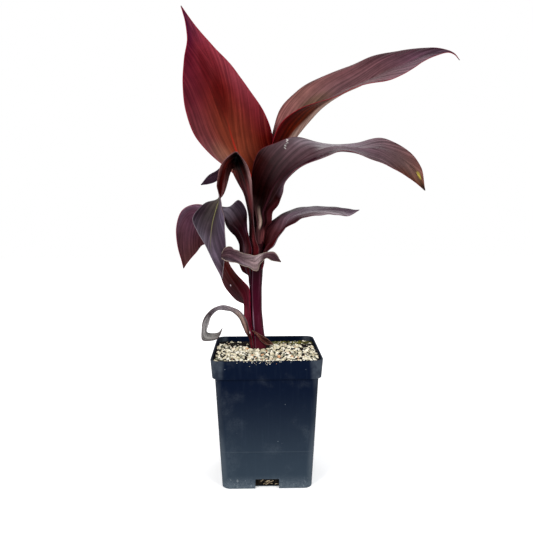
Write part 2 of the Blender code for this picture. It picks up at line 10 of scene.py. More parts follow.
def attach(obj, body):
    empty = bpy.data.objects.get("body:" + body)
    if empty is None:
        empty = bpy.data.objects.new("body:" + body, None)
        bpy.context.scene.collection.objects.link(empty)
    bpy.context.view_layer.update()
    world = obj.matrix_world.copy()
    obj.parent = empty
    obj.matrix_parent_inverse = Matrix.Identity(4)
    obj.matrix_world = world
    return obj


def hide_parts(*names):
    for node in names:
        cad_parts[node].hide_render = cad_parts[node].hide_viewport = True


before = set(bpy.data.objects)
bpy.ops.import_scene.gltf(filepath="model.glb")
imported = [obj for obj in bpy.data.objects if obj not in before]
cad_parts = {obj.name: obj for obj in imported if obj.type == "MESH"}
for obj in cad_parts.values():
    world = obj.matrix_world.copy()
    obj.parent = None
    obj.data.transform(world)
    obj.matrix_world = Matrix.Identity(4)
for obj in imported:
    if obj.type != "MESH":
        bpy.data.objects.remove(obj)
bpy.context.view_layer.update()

mm = 0.001


def colour(red, green, blue):
    # a screen colour, 0 to 255, as the linear values that the shaders take
    values = []
    for level in (red, green, blue):
        share = level / 255
        values.append(share / 12.92 if share < 0.04 else ((share + 0.055) / 1.055) ** 2.4)
    return (*values, 1.0)


def leafShade(red, green, blue):
    # a leaf's colour as seen, with its light and shade painted in, less the sheen that lies over it
    levels = [level * blade["depth"] - blade["sheen"] for level in colour(red, green, blue)[:3]]
    return (*[max(level, 0.0006) for level in levels], 1.0)


# Adding, selecting, shaping and finishing

def addObject(name, data):
    thing = bpy.data.objects.new(name, data)
    bpy.context.scene.collection.objects.link(thing)
    return thing


def deselectAll():
    if bpy.context.object and bpy.context.object.mode != 'OBJECT':
        bpy.ops.object.mode_set(mode='OBJECT')
    bpy.ops.object.select_all(action='DESELECT')


def makeActive(piece):
    deselectAll()
    piece.select_set(True)
    bpy.context.view_layer.objects.active = piece


def pick(kind, test):
    # selects what passes the test on the piece that is being edited
    bpy.ops.mesh.select_mode(type=kind)
    bpy.ops.mesh.select_all(action='DESELECT')
    shape = bmesh.from_edit_mesh(bpy.context.object.data)
    for element in {'VERT': shape.verts, 'EDGE': shape.edges, 'FACE': shape.faces}[kind]:
        element.select_set(bool(test(element)))
    shape.select_flush_mode()
    bmesh.update_edit_mesh(bpy.context.object.data)


def applyModifiers(piece):
    makeActive(piece)
    for modifier in list(piece.modifiers):
        bpy.ops.object.modifier_apply(modifier=modifier.name)


def pointValues(piece, name, values):
    attribute = piece.data.attributes.new(name, 'FLOAT', 'POINT')
    attribute.data.foreach_set("value", np.asarray(values, dtype=np.float32).ravel())


def readPoints(mesh):
    flat = np.zeros(len(mesh.vertices) * 3)
    mesh.vertices.foreach_get("co", flat)
    return flat.reshape(-1, 3)


def writePoints(mesh, points):
    mesh.vertices.foreach_set("co", np.asarray(points).ravel())
    mesh.update()


def finishPiece(piece, slot, *nodes):
    piece.data.name = piece.name
    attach(piece, "root")
    if nodes:
        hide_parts(*nodes)
    print("made", piece.name, len(piece.data.polygons), "faces")
    return piece


# Wiring of the materials

wiring = {}   # holds the node tree that is being wired


def newMaterial(name, roughness, specular):
    material = bpy.data.materials.new(name)
    material.use_nodes = True
    wiring["tree"] = material.node_tree
    setLook({"Roughness": roughness, "Specular IOR Level": specular})
    return material


def wire(source, socket):
    if isinstance(source, bpy.types.NodeSocket):
        wiring["tree"].links.new(source, socket)
    else:
        socket.default_value = source


def setLook(sources):
    for key, source in sources.items():
        wire(source, wiring["tree"].nodes["Principled BSDF"].inputs[key])


def addNode(kind, inputs, output=0, **settings):
    # a node with its settings and its inputs, given by name or number, and the output that is wanted
    node = wiring["tree"].nodes.new("ShaderNode" + kind)
    for key, setting in settings.items():
        setattr(node, key, setting)
    for key, source in inputs.items():
        wire(source, node.inputs[key])
    return node.outputs[output]


def maths(operation, *values):
    return addNode("Math", dict(enumerate(values)), operation=operation)


def times(first, *others):
    for other in others:
        first = maths('MULTIPLY', first, other)
    return first


def fade(value, low, high, atLow=0.0, atHigh=1.0):
    # a smooth change from atLow to atHigh as the value goes from low to high
    inputs = dict(enumerate((value, low, high, atLow, atHigh)))
    return addNode("MapRange", inputs, interpolation_type='SMOOTHSTEP')


def mixColour(share, first, second):
    return addNode("Mix", {0: share, 6: first, 7: second}, 2, data_type='RGBA')


def paint(shade, *coats):
    # lays colours over a shade, each given as its share and the colour
    for share, over in coats:
        shade = mixColour(share, shade, over)
    return shade


def dim(shade, share):
    # makes a colour darker or lighter by a share
    return addNode("VectorMath", {0: shade, "Scale": share}, operation='SCALE')


def ramp(value, stops, shadeOf):
    # runs through the shades of the stops, each given as its place and a screen colour
    step = wiring["tree"].nodes.new("ShaderNodeValToRGB")
    band = step.color_ramp
    while len(band.elements) < len(stops):
        band.elements.new(0.5)
    for element, (place, *levels) in zip(band.elements, stops):
        element.position = place
        element.color = shadeOf(*levels)
    wire(value, step.inputs[0])
    return step.outputs[0]


def fromPoints(name):
    return addNode("Attribute", {}, "Fac", attribute_name=name)


def place(scale=(1, 1, 1)):
    # Object coordinates, stretched by the scale
    here = addNode("TexCoord", {}, "Object")
    return addNode("Mapping", {"Vector": here, "Scale": scale})


def joinAxes(x, y, z):
    return addNode("CombineXYZ", {0: x, 1: y, 2: z})


def axes(vector):
    step = wiring["tree"].nodes.new("ShaderNodeSeparateXYZ")
    wire(vector, step.inputs[0])
    return step.outputs


def grain(vector, scale, detail, roughness, distortion=0.0):
    names = ("Vector", "Scale", "Detail", "Roughness", "Distortion")
    return addNode("TexNoise", dict(zip(names, (vector, scale, detail, roughness, distortion))))


def bump(height, distance, strength, **normal):
    # dents the surface by a height, on top of another bump where one is given as Normal
    return addNode("Bump", {"Height": height, "Distance": distance, "Strength": strength, **normal})


# Camera: where the plant is seen from, and how the view is turned, in degrees
view = dict(place=(-9.35, -575.55, 276.0), turn=1.02, dip=5.31, roll=-0.22, focal=36.74, film=36.0)


def makeCamera():
    turn, dip, roll = (math.radians(view[key]) for key in ("turn", "dip", "roll"))
    ahead = Vector((math.sin(turn) * math.cos(dip), math.cos(turn) * math.cos(dip), -math.sin(dip)))
    right = Vector((math.cos(turn), -math.sin(turn), 0))
    up = right.cross(ahead)
    right, up = (math.cos(roll) * right + math.sin(roll) * up,
                 math.cos(roll) * up - math.sin(roll) * right)
    lens = bpy.data.cameras.new("viewCamera")
    lens.lens = view["focal"]
    lens.sensor_width = view["film"]
    lens.clip_start = 0.01
    camera = addObject("viewCamera", lens)
    axesOfView = Matrix((right, up, -ahead)).transposed().to_4x4()
    camera.matrix_world = Matrix.Translation(Vector(view["place"]) * mm) @ axesOfView
    bpy.context.scene.camera = camera
    print("camera placed")


# Studio: floor size in metres, softboxes as place (m), aim (m), size (m), power (W) and colour. The floor
# glows from floorGlow's first share to its second as the distance runs through floorFade
studio = dict(
    floor=6.0, floorColour=colour(246, 246, 246), floorFade=(0.15, 1.4), floorGlow=(0.35, 0.85),
    skyColour=colour(250, 251, 255), skyLight=0.25, backdrop=1.0,
    boxes=[
        dict(place=(-0.95, -1.05, 0.95), aim=(0, 0, 0.28), size=0.8, power=20, tint=(1, 0.99, 0.98)),
        dict(place=(1.05, -0.95, 0.85), aim=(0, 0, 0.28), size=0.8, power=16, tint=(0.98, 0.99, 1)),
        dict(place=(0.1, 1.0, 1.2), aim=(0, 0, 0.3), size=1.0, power=9, tint=(1, 1, 1))])


def makeStudio():
    deselectAll()
    bpy.ops.mesh.primitive_plane_add(size=studio["floor"])
    floor = bpy.context.object
    floor.name = "studioFloor"
    floor.data.materials.append(newMaterial("paleFloor", 0.9, 0.2))
    # the floor turns white far from the pot, so that it has no edge
    reach = addNode("VectorMath", {0: place()}, "Value", operation='LENGTH')
    setLook({"Base Color": studio["floorColour"], "Emission Color": (1, 1, 1, 1),
             "Emission Strength": fade(reach, *studio["floorFade"], *studio["floorGlow"])})
    for number, box in enumerate(studio["boxes"]):
        light = bpy.data.lights.new(f"softbox{number}", 'AREA')
        light.shape = 'SQUARE'
        light.size = box["size"]
        light.energy = box["power"]
        light.color = box["tint"]
        lamp = addObject(light.name, light)
        lamp.location = box["place"]
        towards = Vector(box["aim"]) - Vector(box["place"])
        lamp.rotation_euler = towards.to_track_quat('-Z', 'Y').to_euler()
    world = bpy.data.worlds.new("paleSky")
    world.use_nodes = True
    wiring["tree"] = world.node_tree
    sky = world.node_tree.nodes["Background"]
    sky.inputs["Color"].default_value = studio["skyColour"]
    sky.inputs["Strength"].default_value = studio["skyLight"]
    # the backdrop is plain white, brighter than the light that it gives
    backdrop = addNode("Background", {"Color": (1, 1, 1, 1), "Strength": studio["backdrop"]})
    seen = addNode("LightPath", {}, "Is Camera Ray")
    mixed = addNode("MixShader", {0: seen, 1: sky.outputs[0], 2: backdrop})
    wire(mixed, world.node_tree.nodes["World Output"].inputs["Surface"])
    bpy.context.scene.world = world
    bpy.context.scene.view_settings.view_transform = 'Standard'
    print("studio lit")


# False stem: height, centre x, centre y and radius in mm. Every sheath and the stem follow it
stemLine = [
    (95.0, -7.0, 12.0, 7.6), (118.0, -7.0, 12.0, 8.6), (134.0, -7.4, 12.0, 8.3),
    (152.0, -9.0, 12.0, 7.2), (174.0, -10.4, 12.0, 6.6), (198.0, -10.8, 12.0, 7.0),
    (221.0, -9.7, 12.0, 7.4), (239.0, -8.0, 12.0, 6.9), (261.0, -5.7, 12.0, 6.0),
    (277.0, -4.7, 12.0, 5.4), (293.0, -4.5, 12.0, 4.6), (304.0, -4.4, 12.0, 2.6)]


def stemAt(height):
    table = np.array(stemLine)
    return [np.interp(height, table[:, 0], table[:, k]) for k in (1, 2, 3)]


# Leaves: what all of them share. Lengths in mm
blade = dict(
    thickness=0.5, sheathGap=0.4, tipHalfWidth=0.45, rows=150, cellsPerHalf=16, curveSteps=24,
    rippleTurns=31.0, rippleLag=1.3, rippleFullWidth=10.0, flutter=0.25, flutterTurns=57.0, flutterLag=2.1,
    ridgeShare=0.16, ridgeFadeStart=4.0, ridgeFadeSpan=8.0, veinPitch=7.0, veinLean=6.0,
    veinLeanAtFoot=5.5, veinOffset=0.37, pleatPitch=50.0, pleat=0.16, tuck=1.7, tuckRun=9.0,
    depth=0.66, sheen=0.0025)


def sheathPoint(leaf, height, direction, turn):
    # a point of a sheath that hugs the stem and starts inside it, turned away from its middle
    x, y, radius = stemAt(height)
    angle = np.radians(direction + turn)
    risen = np.clip((height - leaf["sheath"][0][0]) / blade["tuckRun"], 0, 1) if leaf["sheath"] else 1
    reach = radius + blade["sheathGap"] + leaf.get("layer", 0.0) - blade["tuck"] * (1 - risen)
    level = height + 0 * angle   # one for each angle
    return np.stack([x + reach * np.cos(angle), y + reach * np.sin(angle), level], -1)


def leafRows(leaf, count):
    # even rows of left margin, midrib, right margin and how the row hugs the stem
    control = []
    for height, direction, halfAngle in leaf["sheath"]:
        turns = (-halfAngle, 0, halfAngle)
        points = [sheathPoint(leaf, height, direction, turn) for turn in turns]
        control.append(points + [(1.0, direction, halfAngle)])
    direction, halfAngle = leaf["sheath"][-1][1:] if leaf["sheath"] else (0.0, 0.0)
    for points in leaf["rows"]:
        control.append(list(points) + [(0.0, direction, halfAngle)])
    left, middle, right = [np.array(point, dtype=float) for point in leaf["rows"][-1]]
    tip = np.array(leaf["tip"], dtype=float)
    ahead = (tip - middle) / np.linalg.norm(tip - middle)
    across = (right - left) - ahead * np.dot(right - left, ahead)
    across *= blade["tipHalfWidth"] / np.linalg.norm(across)
    control.append([tip - across, tip, tip + across, (0.0, direction, halfAngle)])
    control = np.array(control, dtype=float)
    padded = np.concatenate([[2 * control[0] - control[1]], control,
                             [2 * control[-1] - control[-2]]])
    curve = []
    for i in range(len(control) - 1):
        p0, p1, p2, p3 = padded[i:i + 4]
        for t in np.linspace(0, 1, blade["curveSteps"], endpoint=False):
            curve.append(0.5 * (2 * p1 + (p2 - p0) * t + (2 * p0 - 5 * p1 + 4 * p2 - p3) * t ** 2
                                + (3 * p1 - p0 - 3 * p2 + p3) * t ** 3))
    curve = np.array(curve + [control[-1]])
    travelled = np.cumsum(np.linalg.norm(np.diff(curve[:, 1], axis=0), axis=1))
    travelled = np.concatenate([[0], travelled])
    wanted = np.linspace(0, travelled[-1], count)
    flat = curve.reshape(len(curve), -1)
    even = [np.interp(wanted, travelled, column) for column in flat.T]
    return np.array(even).T.reshape(count, 4, 3), wanted


def unit(vectors):
    return vectors / (np.linalg.norm(vectors, axis=-1, keepdims=True) + 1e-9)


def bladePoints(leaf, rows, travelled, share):
    # places of a blade's points: a row for each cross-section, shares from -1 to 1 along it
    left, middle, right, hold = (rows[:, k][:, None] for k in range(4))
    tangent = unit(np.gradient(rows[:, 1], axis=0))[:, None]
    onRight = (share > 0)[None, :, None]
    reach = np.where(onRight, right, left) - middle
    width = np.linalg.norm(reach, axis=-1)
    outward = unit(np.cross(np.where(onRight, reach, -reach), tangent))
    progress = (travelled / travelled[-1])[:, None]
    s = np.abs(share)[None]
    bow = 4 * s * (1 - s) * leaf["crown"] * width
    phase = progress * blade["rippleTurns"] + share * blade["rippleLag"]
    widthShare = np.minimum(1, width / blade["rippleFullWidth"])
    ripple = leaf["wave"] * s ** 2 * np.sin(phase) * widthShare
    lean = blade["veinLean"] + (blade["veinLeanAtFoot"] - blade["veinLean"]) * (1 - progress)
    vein = travelled[:, None] - lean * s * width + np.sign(share) * blade["veinOffset"] * blade["veinPitch"]
    relief = blade["pleat"] * np.sin(2 * np.pi * vein / blade["pleatPitch"])
    relief = relief * np.minimum(1, 4 * s * (1 - s) + 0.2) * widthShare
    phase = progress * blade["flutterTurns"] + share * blade["flutterLag"]
    flutter = blade["flutter"] * s * np.sin(phase) * widthShare
    lift = (ripple + relief + flutter - bow)[..., None]
    free = middle + reach * s[..., None] + outward * lift
    hug = np.clip(hold[:, :, 0], 0, 1)
    turn = share[None] * hold[:, :, 2]
    hugging = sheathPoint(leaf, middle[:, :, 2], hold[:, :, 1], turn)
    points = free * (1 - hug[..., None]) + hugging * hug[..., None]
    wideEnough = np.clip((width - blade["ridgeFadeStart"]) / blade["ridgeFadeSpan"], 0, 1)
    ridge = np.clip(1 - s / blade["ridgeShare"], 0, 1) * wideEnough * (1 - hug)
    ridge = ridge * np.sqrt(1 - progress)
    facts = np.broadcast_arrays(progress, share[None], vein, ridge, width)
    return points, dict(zip(("along", "across", "vein", "ridge", "width"), facts))


def makeLeaf(name, node, leaf):
    count = leaf.get("count", blade["rows"]) // 1
    deselectAll()
    bpy.ops.mesh.primitive_grid_add(x_subdivisions=2 * blade["cellsPerHalf"],
                                    y_subdivisions=count - 1, size=2)
    piece = bpy.context.object
    piece.name = name
    flat = readPoints(piece.data)
    rows, travelled = leafRows(leaf, count)
    share = np.linspace(-1, 1, 2 * blade["cellsPerHalf"] + 1)
    points, facts = bladePoints(leaf, rows, travelled, share)
    row = np.rint((flat[:, 1] + 1) / 2 * (count - 1)).astype(int)
    column = np.rint((flat[:, 0] + 1) * blade["cellsPerHalf"]).astype(int)
    writePoints(piece.data, points[row, column] * mm)
    fact = {key: value[row, column] for key, value in facts.items()}
    halfSpread = np.abs(fact["across"]) * fact["width"]
    for key in ("along", "across", "vein"):
        pointValues(piece, key, fact[key])
    pointValues(piece, "ribGap", halfSpread)
    pointValues(piece, "marginGap", fact["width"] - halfSpread)
    group = piece.vertex_groups.new(name="rib")
    thickest = leaf["rib"]
    thinnest = blade["thickness"] / thickest
    for index, ridge in enumerate(fact["ridge"]):
        group.add([index], thinnest + (1 - thinnest) * float(ridge), 'REPLACE')
    wall = piece.modifiers.new("thickness", 'SOLIDIFY')
    wall.thickness = thickest * mm
    wall.offset = 1.0
    wall.vertex_group = "rib"
    wall.material_offset = 1
    for side in ("under", "upper"):
        piece.data.materials.append(leafMaterial(f"{name}.{side}", leaf[side]))
    applyModifiers(piece)
    piece.data.shade_smooth()
    finishPiece(piece, node, node)
    return piece


# What a side of a leaf has where its own dictionary says nothing else. Places along a leaf run from 0 at
# the foot to 1 at the tip, and across it from -1 at the left margin to 1 at the right one.
# A ramp's stop is its place along and its colour. A stain is an oval: its place along and across, its
# reach along and across, its share and its colour
# Ramps and stains hold colours as seen: the sky's sheen on the wax, highlights, and shade near the stem and
# in folds are painted into them
plainSide = dict(
    stains=[], contrast=0.4, tan=0.06, ribGaps=1.0, marginWidth=0.8, marginShare=0.8, gloss=0.01,
    roughness=0.42, relief=0.00025, crinkle=0.0, tipFrom=0.985, tipShare=0.85, tipShade=(25, 12, 20))


def addStain(shade, along, across, stain):
    alongAt, acrossAt, alongReach, acrossReach, share, *levels = stain
    u = maths('DIVIDE', maths('SUBTRACT', along, alongAt), alongReach)
    v = maths('DIVIDE', maths('SUBTRACT', across, acrossAt), acrossReach)
    away = maths('ADD', times(u, u), times(v, v))
    return mixColour(fade(away, 0.0, 1.0, share, 0.0), shade, leafShade(*levels))


def leafMaterial(name, ownLook):
    look = {**plainSide, **ownLook}
    material = newMaterial(name, look["roughness"], look["gloss"])
    along, across, vein, ribGap, marginGap = [
        fromPoints(fact) for fact in ("along", "across", "vein", "ribGap", "marginGap")]
    # ground colour: runs of shades down the middle and down each margin, painted sheen and shade among them
    shade = ramp(along, look["middle"], leafShade)
    for margin, side in (("left", -1), ("right", 1)):
        if margin in look:
            share = fade(across, side * 0.15, side * 0.9)
            shade = mixColour(share, shade, ramp(along, look[margin], leafShade))
    # stains: the leaf's own marks, and some painted highlights and shade
    for stain in look["stains"]:
        shade = addStain(shade, along, across, stain)
    # veins: long streaks that leave the midrib at a narrow angle
    half = maths('SIGN', across)
    lane = maths('DIVIDE', vein, blade["veinPitch"])
    drift = times(ribGap, 0.06)
    fineVeins = grain(joinAxes(lane, drift, times(half, 5.0)), 1.1, 3.0, 0.6)
    broadLane = times(lane, 0.45)
    broadVeins = grain(joinAxes(broadLane, drift, times(half, 9.0)), 1.0, 2.0, 0.5)
    cloud = grain(place(), 70.0, 4.0, 0.6)
    swings = []
    for source, low, high, part in ((broadVeins, 0.28, 0.72, 1.0), (fineVeins, 0.28, 0.72, 0.7),
                                    (cloud, 0.3, 0.7, 0.4)):
        swing = look["contrast"] * part
        swings.append(fade(source, low, high, 1 - swing, 1 + swing))
    shade = dim(shade, times(*swings))
    pale = times(fade(broadVeins, 0.55, 0.75), fade(fineVeins, 0.4, 0.6), look["tan"])
    shade = mixColour(pale, shade, leafShade(*look["streakLight"]))
    # midrib stripe, which narrows towards the tip
    if "ribShade" in look:
        ribWidth = times(fade(along, 0.2, 1.0, 1.0, 0.35), look["ribWidth"])
        onRib = fade(ribGap, times(ribWidth, 0.35), ribWidth, 1.0, 0.0)
        ribRun = fade(along, *look["ribRun"], look["ribShare"], 0.0)
        ribRun = times(ribRun, onRib, fade(fineVeins, 0.35, 0.6, look["ribGaps"], 1.0))
        shade = mixColour(ribRun, shade, leafShade(*look["ribShade"]))
    # thin coloured margin
    width = look["marginWidth"]
    onMargin = fade(marginGap, width * 0.3, width, look["marginShare"], 0.0)
    shade = mixColour(onMargin, shade, leafShade(*look["marginShade"]))
    # the very tip dries dark
    tip = fade(along, look["tipFrom"], 1.0, 0.0, look["tipShare"])
    shade = mixColour(tip, shade, leafShade(*look["tipShade"]))
    # gloss is broken by the veins and by fine pores
    pores = grain(place(), 900.0, 2.0, 0.5)
    rough = fade(cloud, 0.3, 0.7, look["roughness"] - 0.06, look["roughness"] + 0.08)
    normal = bump(maths('ADD', fineVeins, times(pores, 0.25)), look["relief"], 0.5)
    if look["crinkle"]:
        folds = grain(place(), 170.0, 5.0, 0.65, 0.8)
        normal = bump(folds, 0.003, look["crinkle"], Normal=normal)
    setLook({"Base Color": shade, "Roughness": rough, "Normal": normal})
    return material


# Pot: widths are across the flats, in mm. Its paler, bluer colour low down is a painted reflection of the
# floor
pot = dict(
    height=135.0, rimWidth=112.0, skirtHeight=19.0, skirtFootWidth=109.0, shoulderWidth=104.0,
    footWidth=92.0, wall=1.8, floor=2.2, corner=9.0, cornerCuts=8, ledge=2.0,
    drainWidth=24.0, drainHeight=10.0, drainDepth=5.0, edgeRadius=0.5, seamHeight=39.5,
    plastic=colour(6, 15, 33), plasticFloorReflection=colour(46, 57, 68), streak=colour(76, 90, 106),
    dust=colour(128, 138, 146), scratch=colour(178, 186, 190), roughness=0.4, dustRoughness=0.75,
    dustHeight=16.0, scratchHeight=14.0, seamWidth=0.9)


def rimHalf(height):
    low = pot["height"] - pot["skirtHeight"]
    share = (height - low) / pot["skirtHeight"]
    foot, top = pot["skirtFootWidth"] / 2, pot["rimWidth"] / 2
    return foot + (top - foot) * share - pot["wall"]


def bodyHalf(height):
    shoulder = pot["height"] - pot["skirtHeight"]
    foot, top = pot["footWidth"] / 2, pot["shoulderWidth"] / 2
    return foot + (top - foot) * height / shoulder - pot["wall"]


def liftTop(height, widen, low):
    # extrudes the selected face straight up or down, then widens it about the pot's axis
    bpy.ops.mesh.extrude_region_move(TRANSFORM_OT_translate={"value": (0, 0, (height - low) * mm)})
    bpy.ops.transform.resize(value=(widen, widen, 1), center_override=(0, 0, height * mm))


def makePot():
    deselectAll()
    bpy.ops.mesh.primitive_cube_add(size=pot["footWidth"] * mm)
    piece = bpy.context.object
    piece.name = "nurseryPot"
    shoulder = pot["height"] - pot["skirtHeight"]
    bpy.ops.object.mode_set(mode='EDIT')
    bpy.ops.mesh.select_all(action='SELECT')
    bpy.ops.transform.translate(value=(0, 0, pot["footWidth"] / 2 * mm))
    bpy.ops.transform.resize(value=(1, 1, shoulder / pot["footWidth"]), center_override=(0, 0, 0))
    pick('FACE', lambda face: face.normal.z > 0.9)
    widen = pot["shoulderWidth"] / pot["footWidth"]
    bpy.ops.transform.resize(value=(widen, widen, 1), center_override=(0, 0, shoulder * mm))
    pick('EDGE', lambda edge: abs(edge.verts[0].co.z - edge.verts[1].co.z) > shoulder * mm / 2)
    bpy.ops.mesh.bevel(offset=pot["corner"] * mm, segments=pot["cornerCuts"], affect='EDGES')
    pick('FACE', lambda face: face.normal.z > 0.9)
    liftTop(shoulder, pot["skirtFootWidth"] / pot["shoulderWidth"], shoulder)
    liftTop(pot["height"], pot["rimWidth"] / pot["skirtFootWidth"], shoulder)
    bpy.ops.mesh.inset(thickness=pot["wall"] * mm)
    ledge = shoulder + pot["ledge"]
    liftTop(ledge, rimHalf(ledge) / rimHalf(pot["height"]), pot["height"])
    bpy.ops.mesh.inset(thickness=(rimHalf(ledge) - bodyHalf(ledge)) * mm)
    liftTop(pot["floor"], bodyHalf(pot["floor"]) / bodyHalf(ledge), ledge)
    bpy.ops.object.mode_set(mode='OBJECT')
    reach = pot["footWidth"] / 2
    cutters = []
    for turn in range(4):
        bpy.ops.mesh.primitive_cube_add(size=mm)
        cutter = bpy.context.object
        cutter.scale = (pot["drainWidth"], 2 * pot["drainDepth"], 2 * pot["drainHeight"])
        angle = turn * math.pi / 2
        cutter.rotation_euler.z = angle
        cutter.location = (math.sin(angle) * reach * mm, -math.cos(angle) * reach * mm, 0)
        cutters.append(cutter)
    for cutter in cutters:
        notch = piece.modifiers.new("drain", 'BOOLEAN')
        notch.object = cutter
    edges = piece.modifiers.new("edges", 'BEVEL')
    edges.width = pot["edgeRadius"] * mm
    edges.segments = 3
    edges.limit_method = 'ANGLE'
    edges.angle_limit = math.radians(50)
    applyModifiers(piece)
    for cutter in cutters:
        bpy.data.objects.remove(cutter)
    makeActive(piece)
    bpy.ops.object.shade_smooth_by_angle(angle=math.radians(35))
    piece.data.materials.append(potPlastic())
    finishPiece(piece, "pot", "pot")


def potPlastic():
    material = newMaterial("dustyPotPlastic", pot["roughness"], 0.015)
    here = place()
    x, y, z = axes(here)
    # the plastic is painted paler and bluer towards the foot, a painted reflection of the pale floor
    low = fade(z, -0.01, pot["height"] * 0.85 * mm, 1.0, 0.0)
    # faint drawn streaks of the moulding run up the walls
    streak = grain(place((420, 420, 14)), 1.0, 3.0, 0.6)
    # dust in patches, thick at the foot; along the corners the paler band is dust and a painted highlight
    patch = grain(here, 38.0, 5.0, 0.62)
    speck = grain(here, 620.0, 3.0, 0.6)
    foot = fade(z, 0.0, pot["dustHeight"] * mm, 0.3, 0.0)
    dusty = maths('ADD', foot, fade(patch, 0.5, 0.78, 0.0, 0.08))
    dusty = times(dusty, fade(speck, 0.3, 0.62, 0.35, 1.0))
    corner = times(maths('ABSOLUTE', x), maths('ABSOLUTE', y))
    squares = [(pot[width] / 2 * mm) ** 2 for width in ("footWidth", "shoulderWidth")]
    halfHere = fade(z, 0.0, (pot["height"] - pot["skirtHeight"]) * mm, *squares)
    onCorner = fade(maths('DIVIDE', corner, halfHere), 0.84, 0.95, 0.0, 1.0)
    # the corners are painted paler: part dust, part painted highlight of the rounded corners
    cornerDustAndHighlight = times(onCorner, fade(patch, 0.35, 0.6, 0.06, 0.2))
    dusty = maths('MAXIMUM', dusty, cornerDustAndHighlight)
    # fine pale scratches at the foot, a paler line along the mould's seam, and a few pale splashes
    scratch = grain(place((1.3, 1.3, 0.5)), 260.0, 4.0, 0.7, 1.5)
    nearFoot = fade(z, 2 * mm, pot["scratchHeight"] * mm, 0.5, 0.0)
    scratched = times(fade(scratch, 0.6, 0.68), nearFoot)
    seamGap = maths('ABSOLUTE', maths('SUBTRACT', z, pot["seamHeight"] * mm))
    splash = addNode("TexVoronoi", {"Vector": here, "Scale": 75.0}, "Distance")
    shade = paint(mixColour(low, pot["plastic"], pot["plasticFloorReflection"]),
                  (fade(streak, 0.5, 0.8, 0.0, 0.04), pot["streak"]),
                  (dusty, pot["dust"]),
                  (scratched, pot["scratch"]),
                  (fade(seamGap, 0.0, pot["seamWidth"] * mm, 0.05, 0.0), pot["dust"]),
                  (fade(splash, 0.03, 0.05, 0.4, 0.0), pot["dust"]))
    rough = fade(dusty, 0.0, 0.6, pot["roughness"], pot["dustRoughness"])
    # the seam of the mould rings the body
    seam = fade(seamGap, 0.0, 0.5 * mm, 1.0, 0.0)
    height = maths('ADD', times(speck, 0.12), times(seam, 0.6))
    setLook({"Base Color": shade, "Roughness": rough, "Normal": bump(height, 0.0004, 0.6)})
    return material


# Soil and the bed that the stones lie in. Heights in mm
soil = dict(
    bedCells=150, bedFront=132.6, bedBack=128.9, bedDepth=1.2, stoneEdge=18.0, lip=0.4, seed=3,
    crumb=0.9, crumbSizes=[(7.0, 0.5), (3.2, 0.35), (1.6, 0.25)], wavesEach=5, speckle=0.12,
    dark=colour(22, 20, 20), brown=colour(56, 46, 38), notchShadeDark=colour(7, 7, 7), notchShadeBrown=colour(42, 34, 26),
    moss=colour(138, 132, 56), mossDark=colour(58, 60, 32))


def bedHeight(x, y):
    # the bed falls away towards the back, where the soil shows
    share = np.clip((y - soil["stoneEdge"]) / (pot["rimWidth"] / 2 - soil["stoneEdge"]), 0, 1)
    fall = share * share * (3 - 2 * share)
    base = soil["bedFront"] + (soil["bedBack"] - soil["bedFront"]) * fall
    return base + 0.5 * np.sin(x / 9.5) * np.cos(y / 12.0)


def insideRim(x, y, clearance):
    # pulls a point of a square into the pot's rounded inside
    half = rimHalf(soil["bedFront"]) - clearance
    corner = pot["corner"] - 1
    x, y = x * half, y * half
    overX = np.clip(np.abs(x) - (half - corner), 0, None)
    overY = np.clip(np.abs(y) - (half - corner), 0, None)
    both = (overX > 0) & (overY > 0)
    length = np.hypot(overX, overY) + 1e-9
    pull = np.where(both, np.maximum(overX, overY) / length, 1.0)
    x = np.where(both, np.sign(x) * (half - corner + overX * pull), x)
    y = np.where(both, np.sign(y) * (half - corner + overY * pull), y)
    return x, y


def makeBed():
    deselectAll()
    cellsAcross = soil["bedCells"] // 1
    bpy.ops.mesh.primitive_grid_add(x_subdivisions=cellsAcross, y_subdivisions=cellsAcross, size=2)
    piece = bpy.context.object
    piece.name = "soilBed"
    flat = readPoints(piece.data)
    x, y = insideRim(flat[:, 0], flat[:, 1], soil["lip"])
    z = bedHeight(x, y)
    rng = np.random.default_rng(soil["seed"])
    for size, share in soil["crumbSizes"]:
        for _ in range(soil["wavesEach"]):
            heading = rng.uniform(0, 2 * math.pi)
            lag = rng.uniform(0, 2 * math.pi)
            along = (x * math.cos(heading) + y * math.sin(heading)) / size * 2 * math.pi + lag
            z = z + soil["crumb"] * share * 0.4 * np.sin(along + 0.6 * np.sin(along * 0.37))
    z = z + rng.normal(0, soil["crumb"] * soil["speckle"], len(z))
    writePoints(piece.data, np.stack([x, y, z], -1) * mm)
    wall = piece.modifiers.new("depth", 'SOLIDIFY')
    wall.thickness = soil["bedDepth"] * mm
    wall.offset = -1.0
    applyModifiers(piece)
    piece.data.shade_smooth()
    piece.data.materials.append(soilFinish("mossySoil", True))
    finishPiece(piece, "soil", "grit")


def soilFinish(name, mossy):
    material = newMaterial(name, 0.95, 0.05)
    here = place()
    crumbs = grain(here, 330.0, 5.0, 0.7)
    clods = grain(here, 90.0, 4.0, 0.6)
    # soil in the drain notches gets near-black shades: painted shade inside the notches
    dark, brown = (soil["dark"], soil["brown"]) if mossy else (soil["notchShadeDark"], soil["notchShadeBrown"])
    shade = mixColour(fade(crumbs, 0.45, 0.75), dark, brown)
    if mossy:
        x, y, z = axes(here)
        atBack = fade(y, 20 * mm, 36 * mm)
        toRight = fade(x, -14 * mm, 12 * mm)
        patchy = fade(clods, 0.38, 0.58)
        moss = mixColour(fade(crumbs, 0.35, 0.65), soil["mossDark"], soil["moss"])
        share = times(atBack, toRight, patchy)
        shade = mixColour(share, shade, moss)
    height = maths('ADD', crumbs, times(clods, 0.5))
    setLook({"Base Color": shade, "Normal": bump(height, 0.0012, 0.9)})
    return material


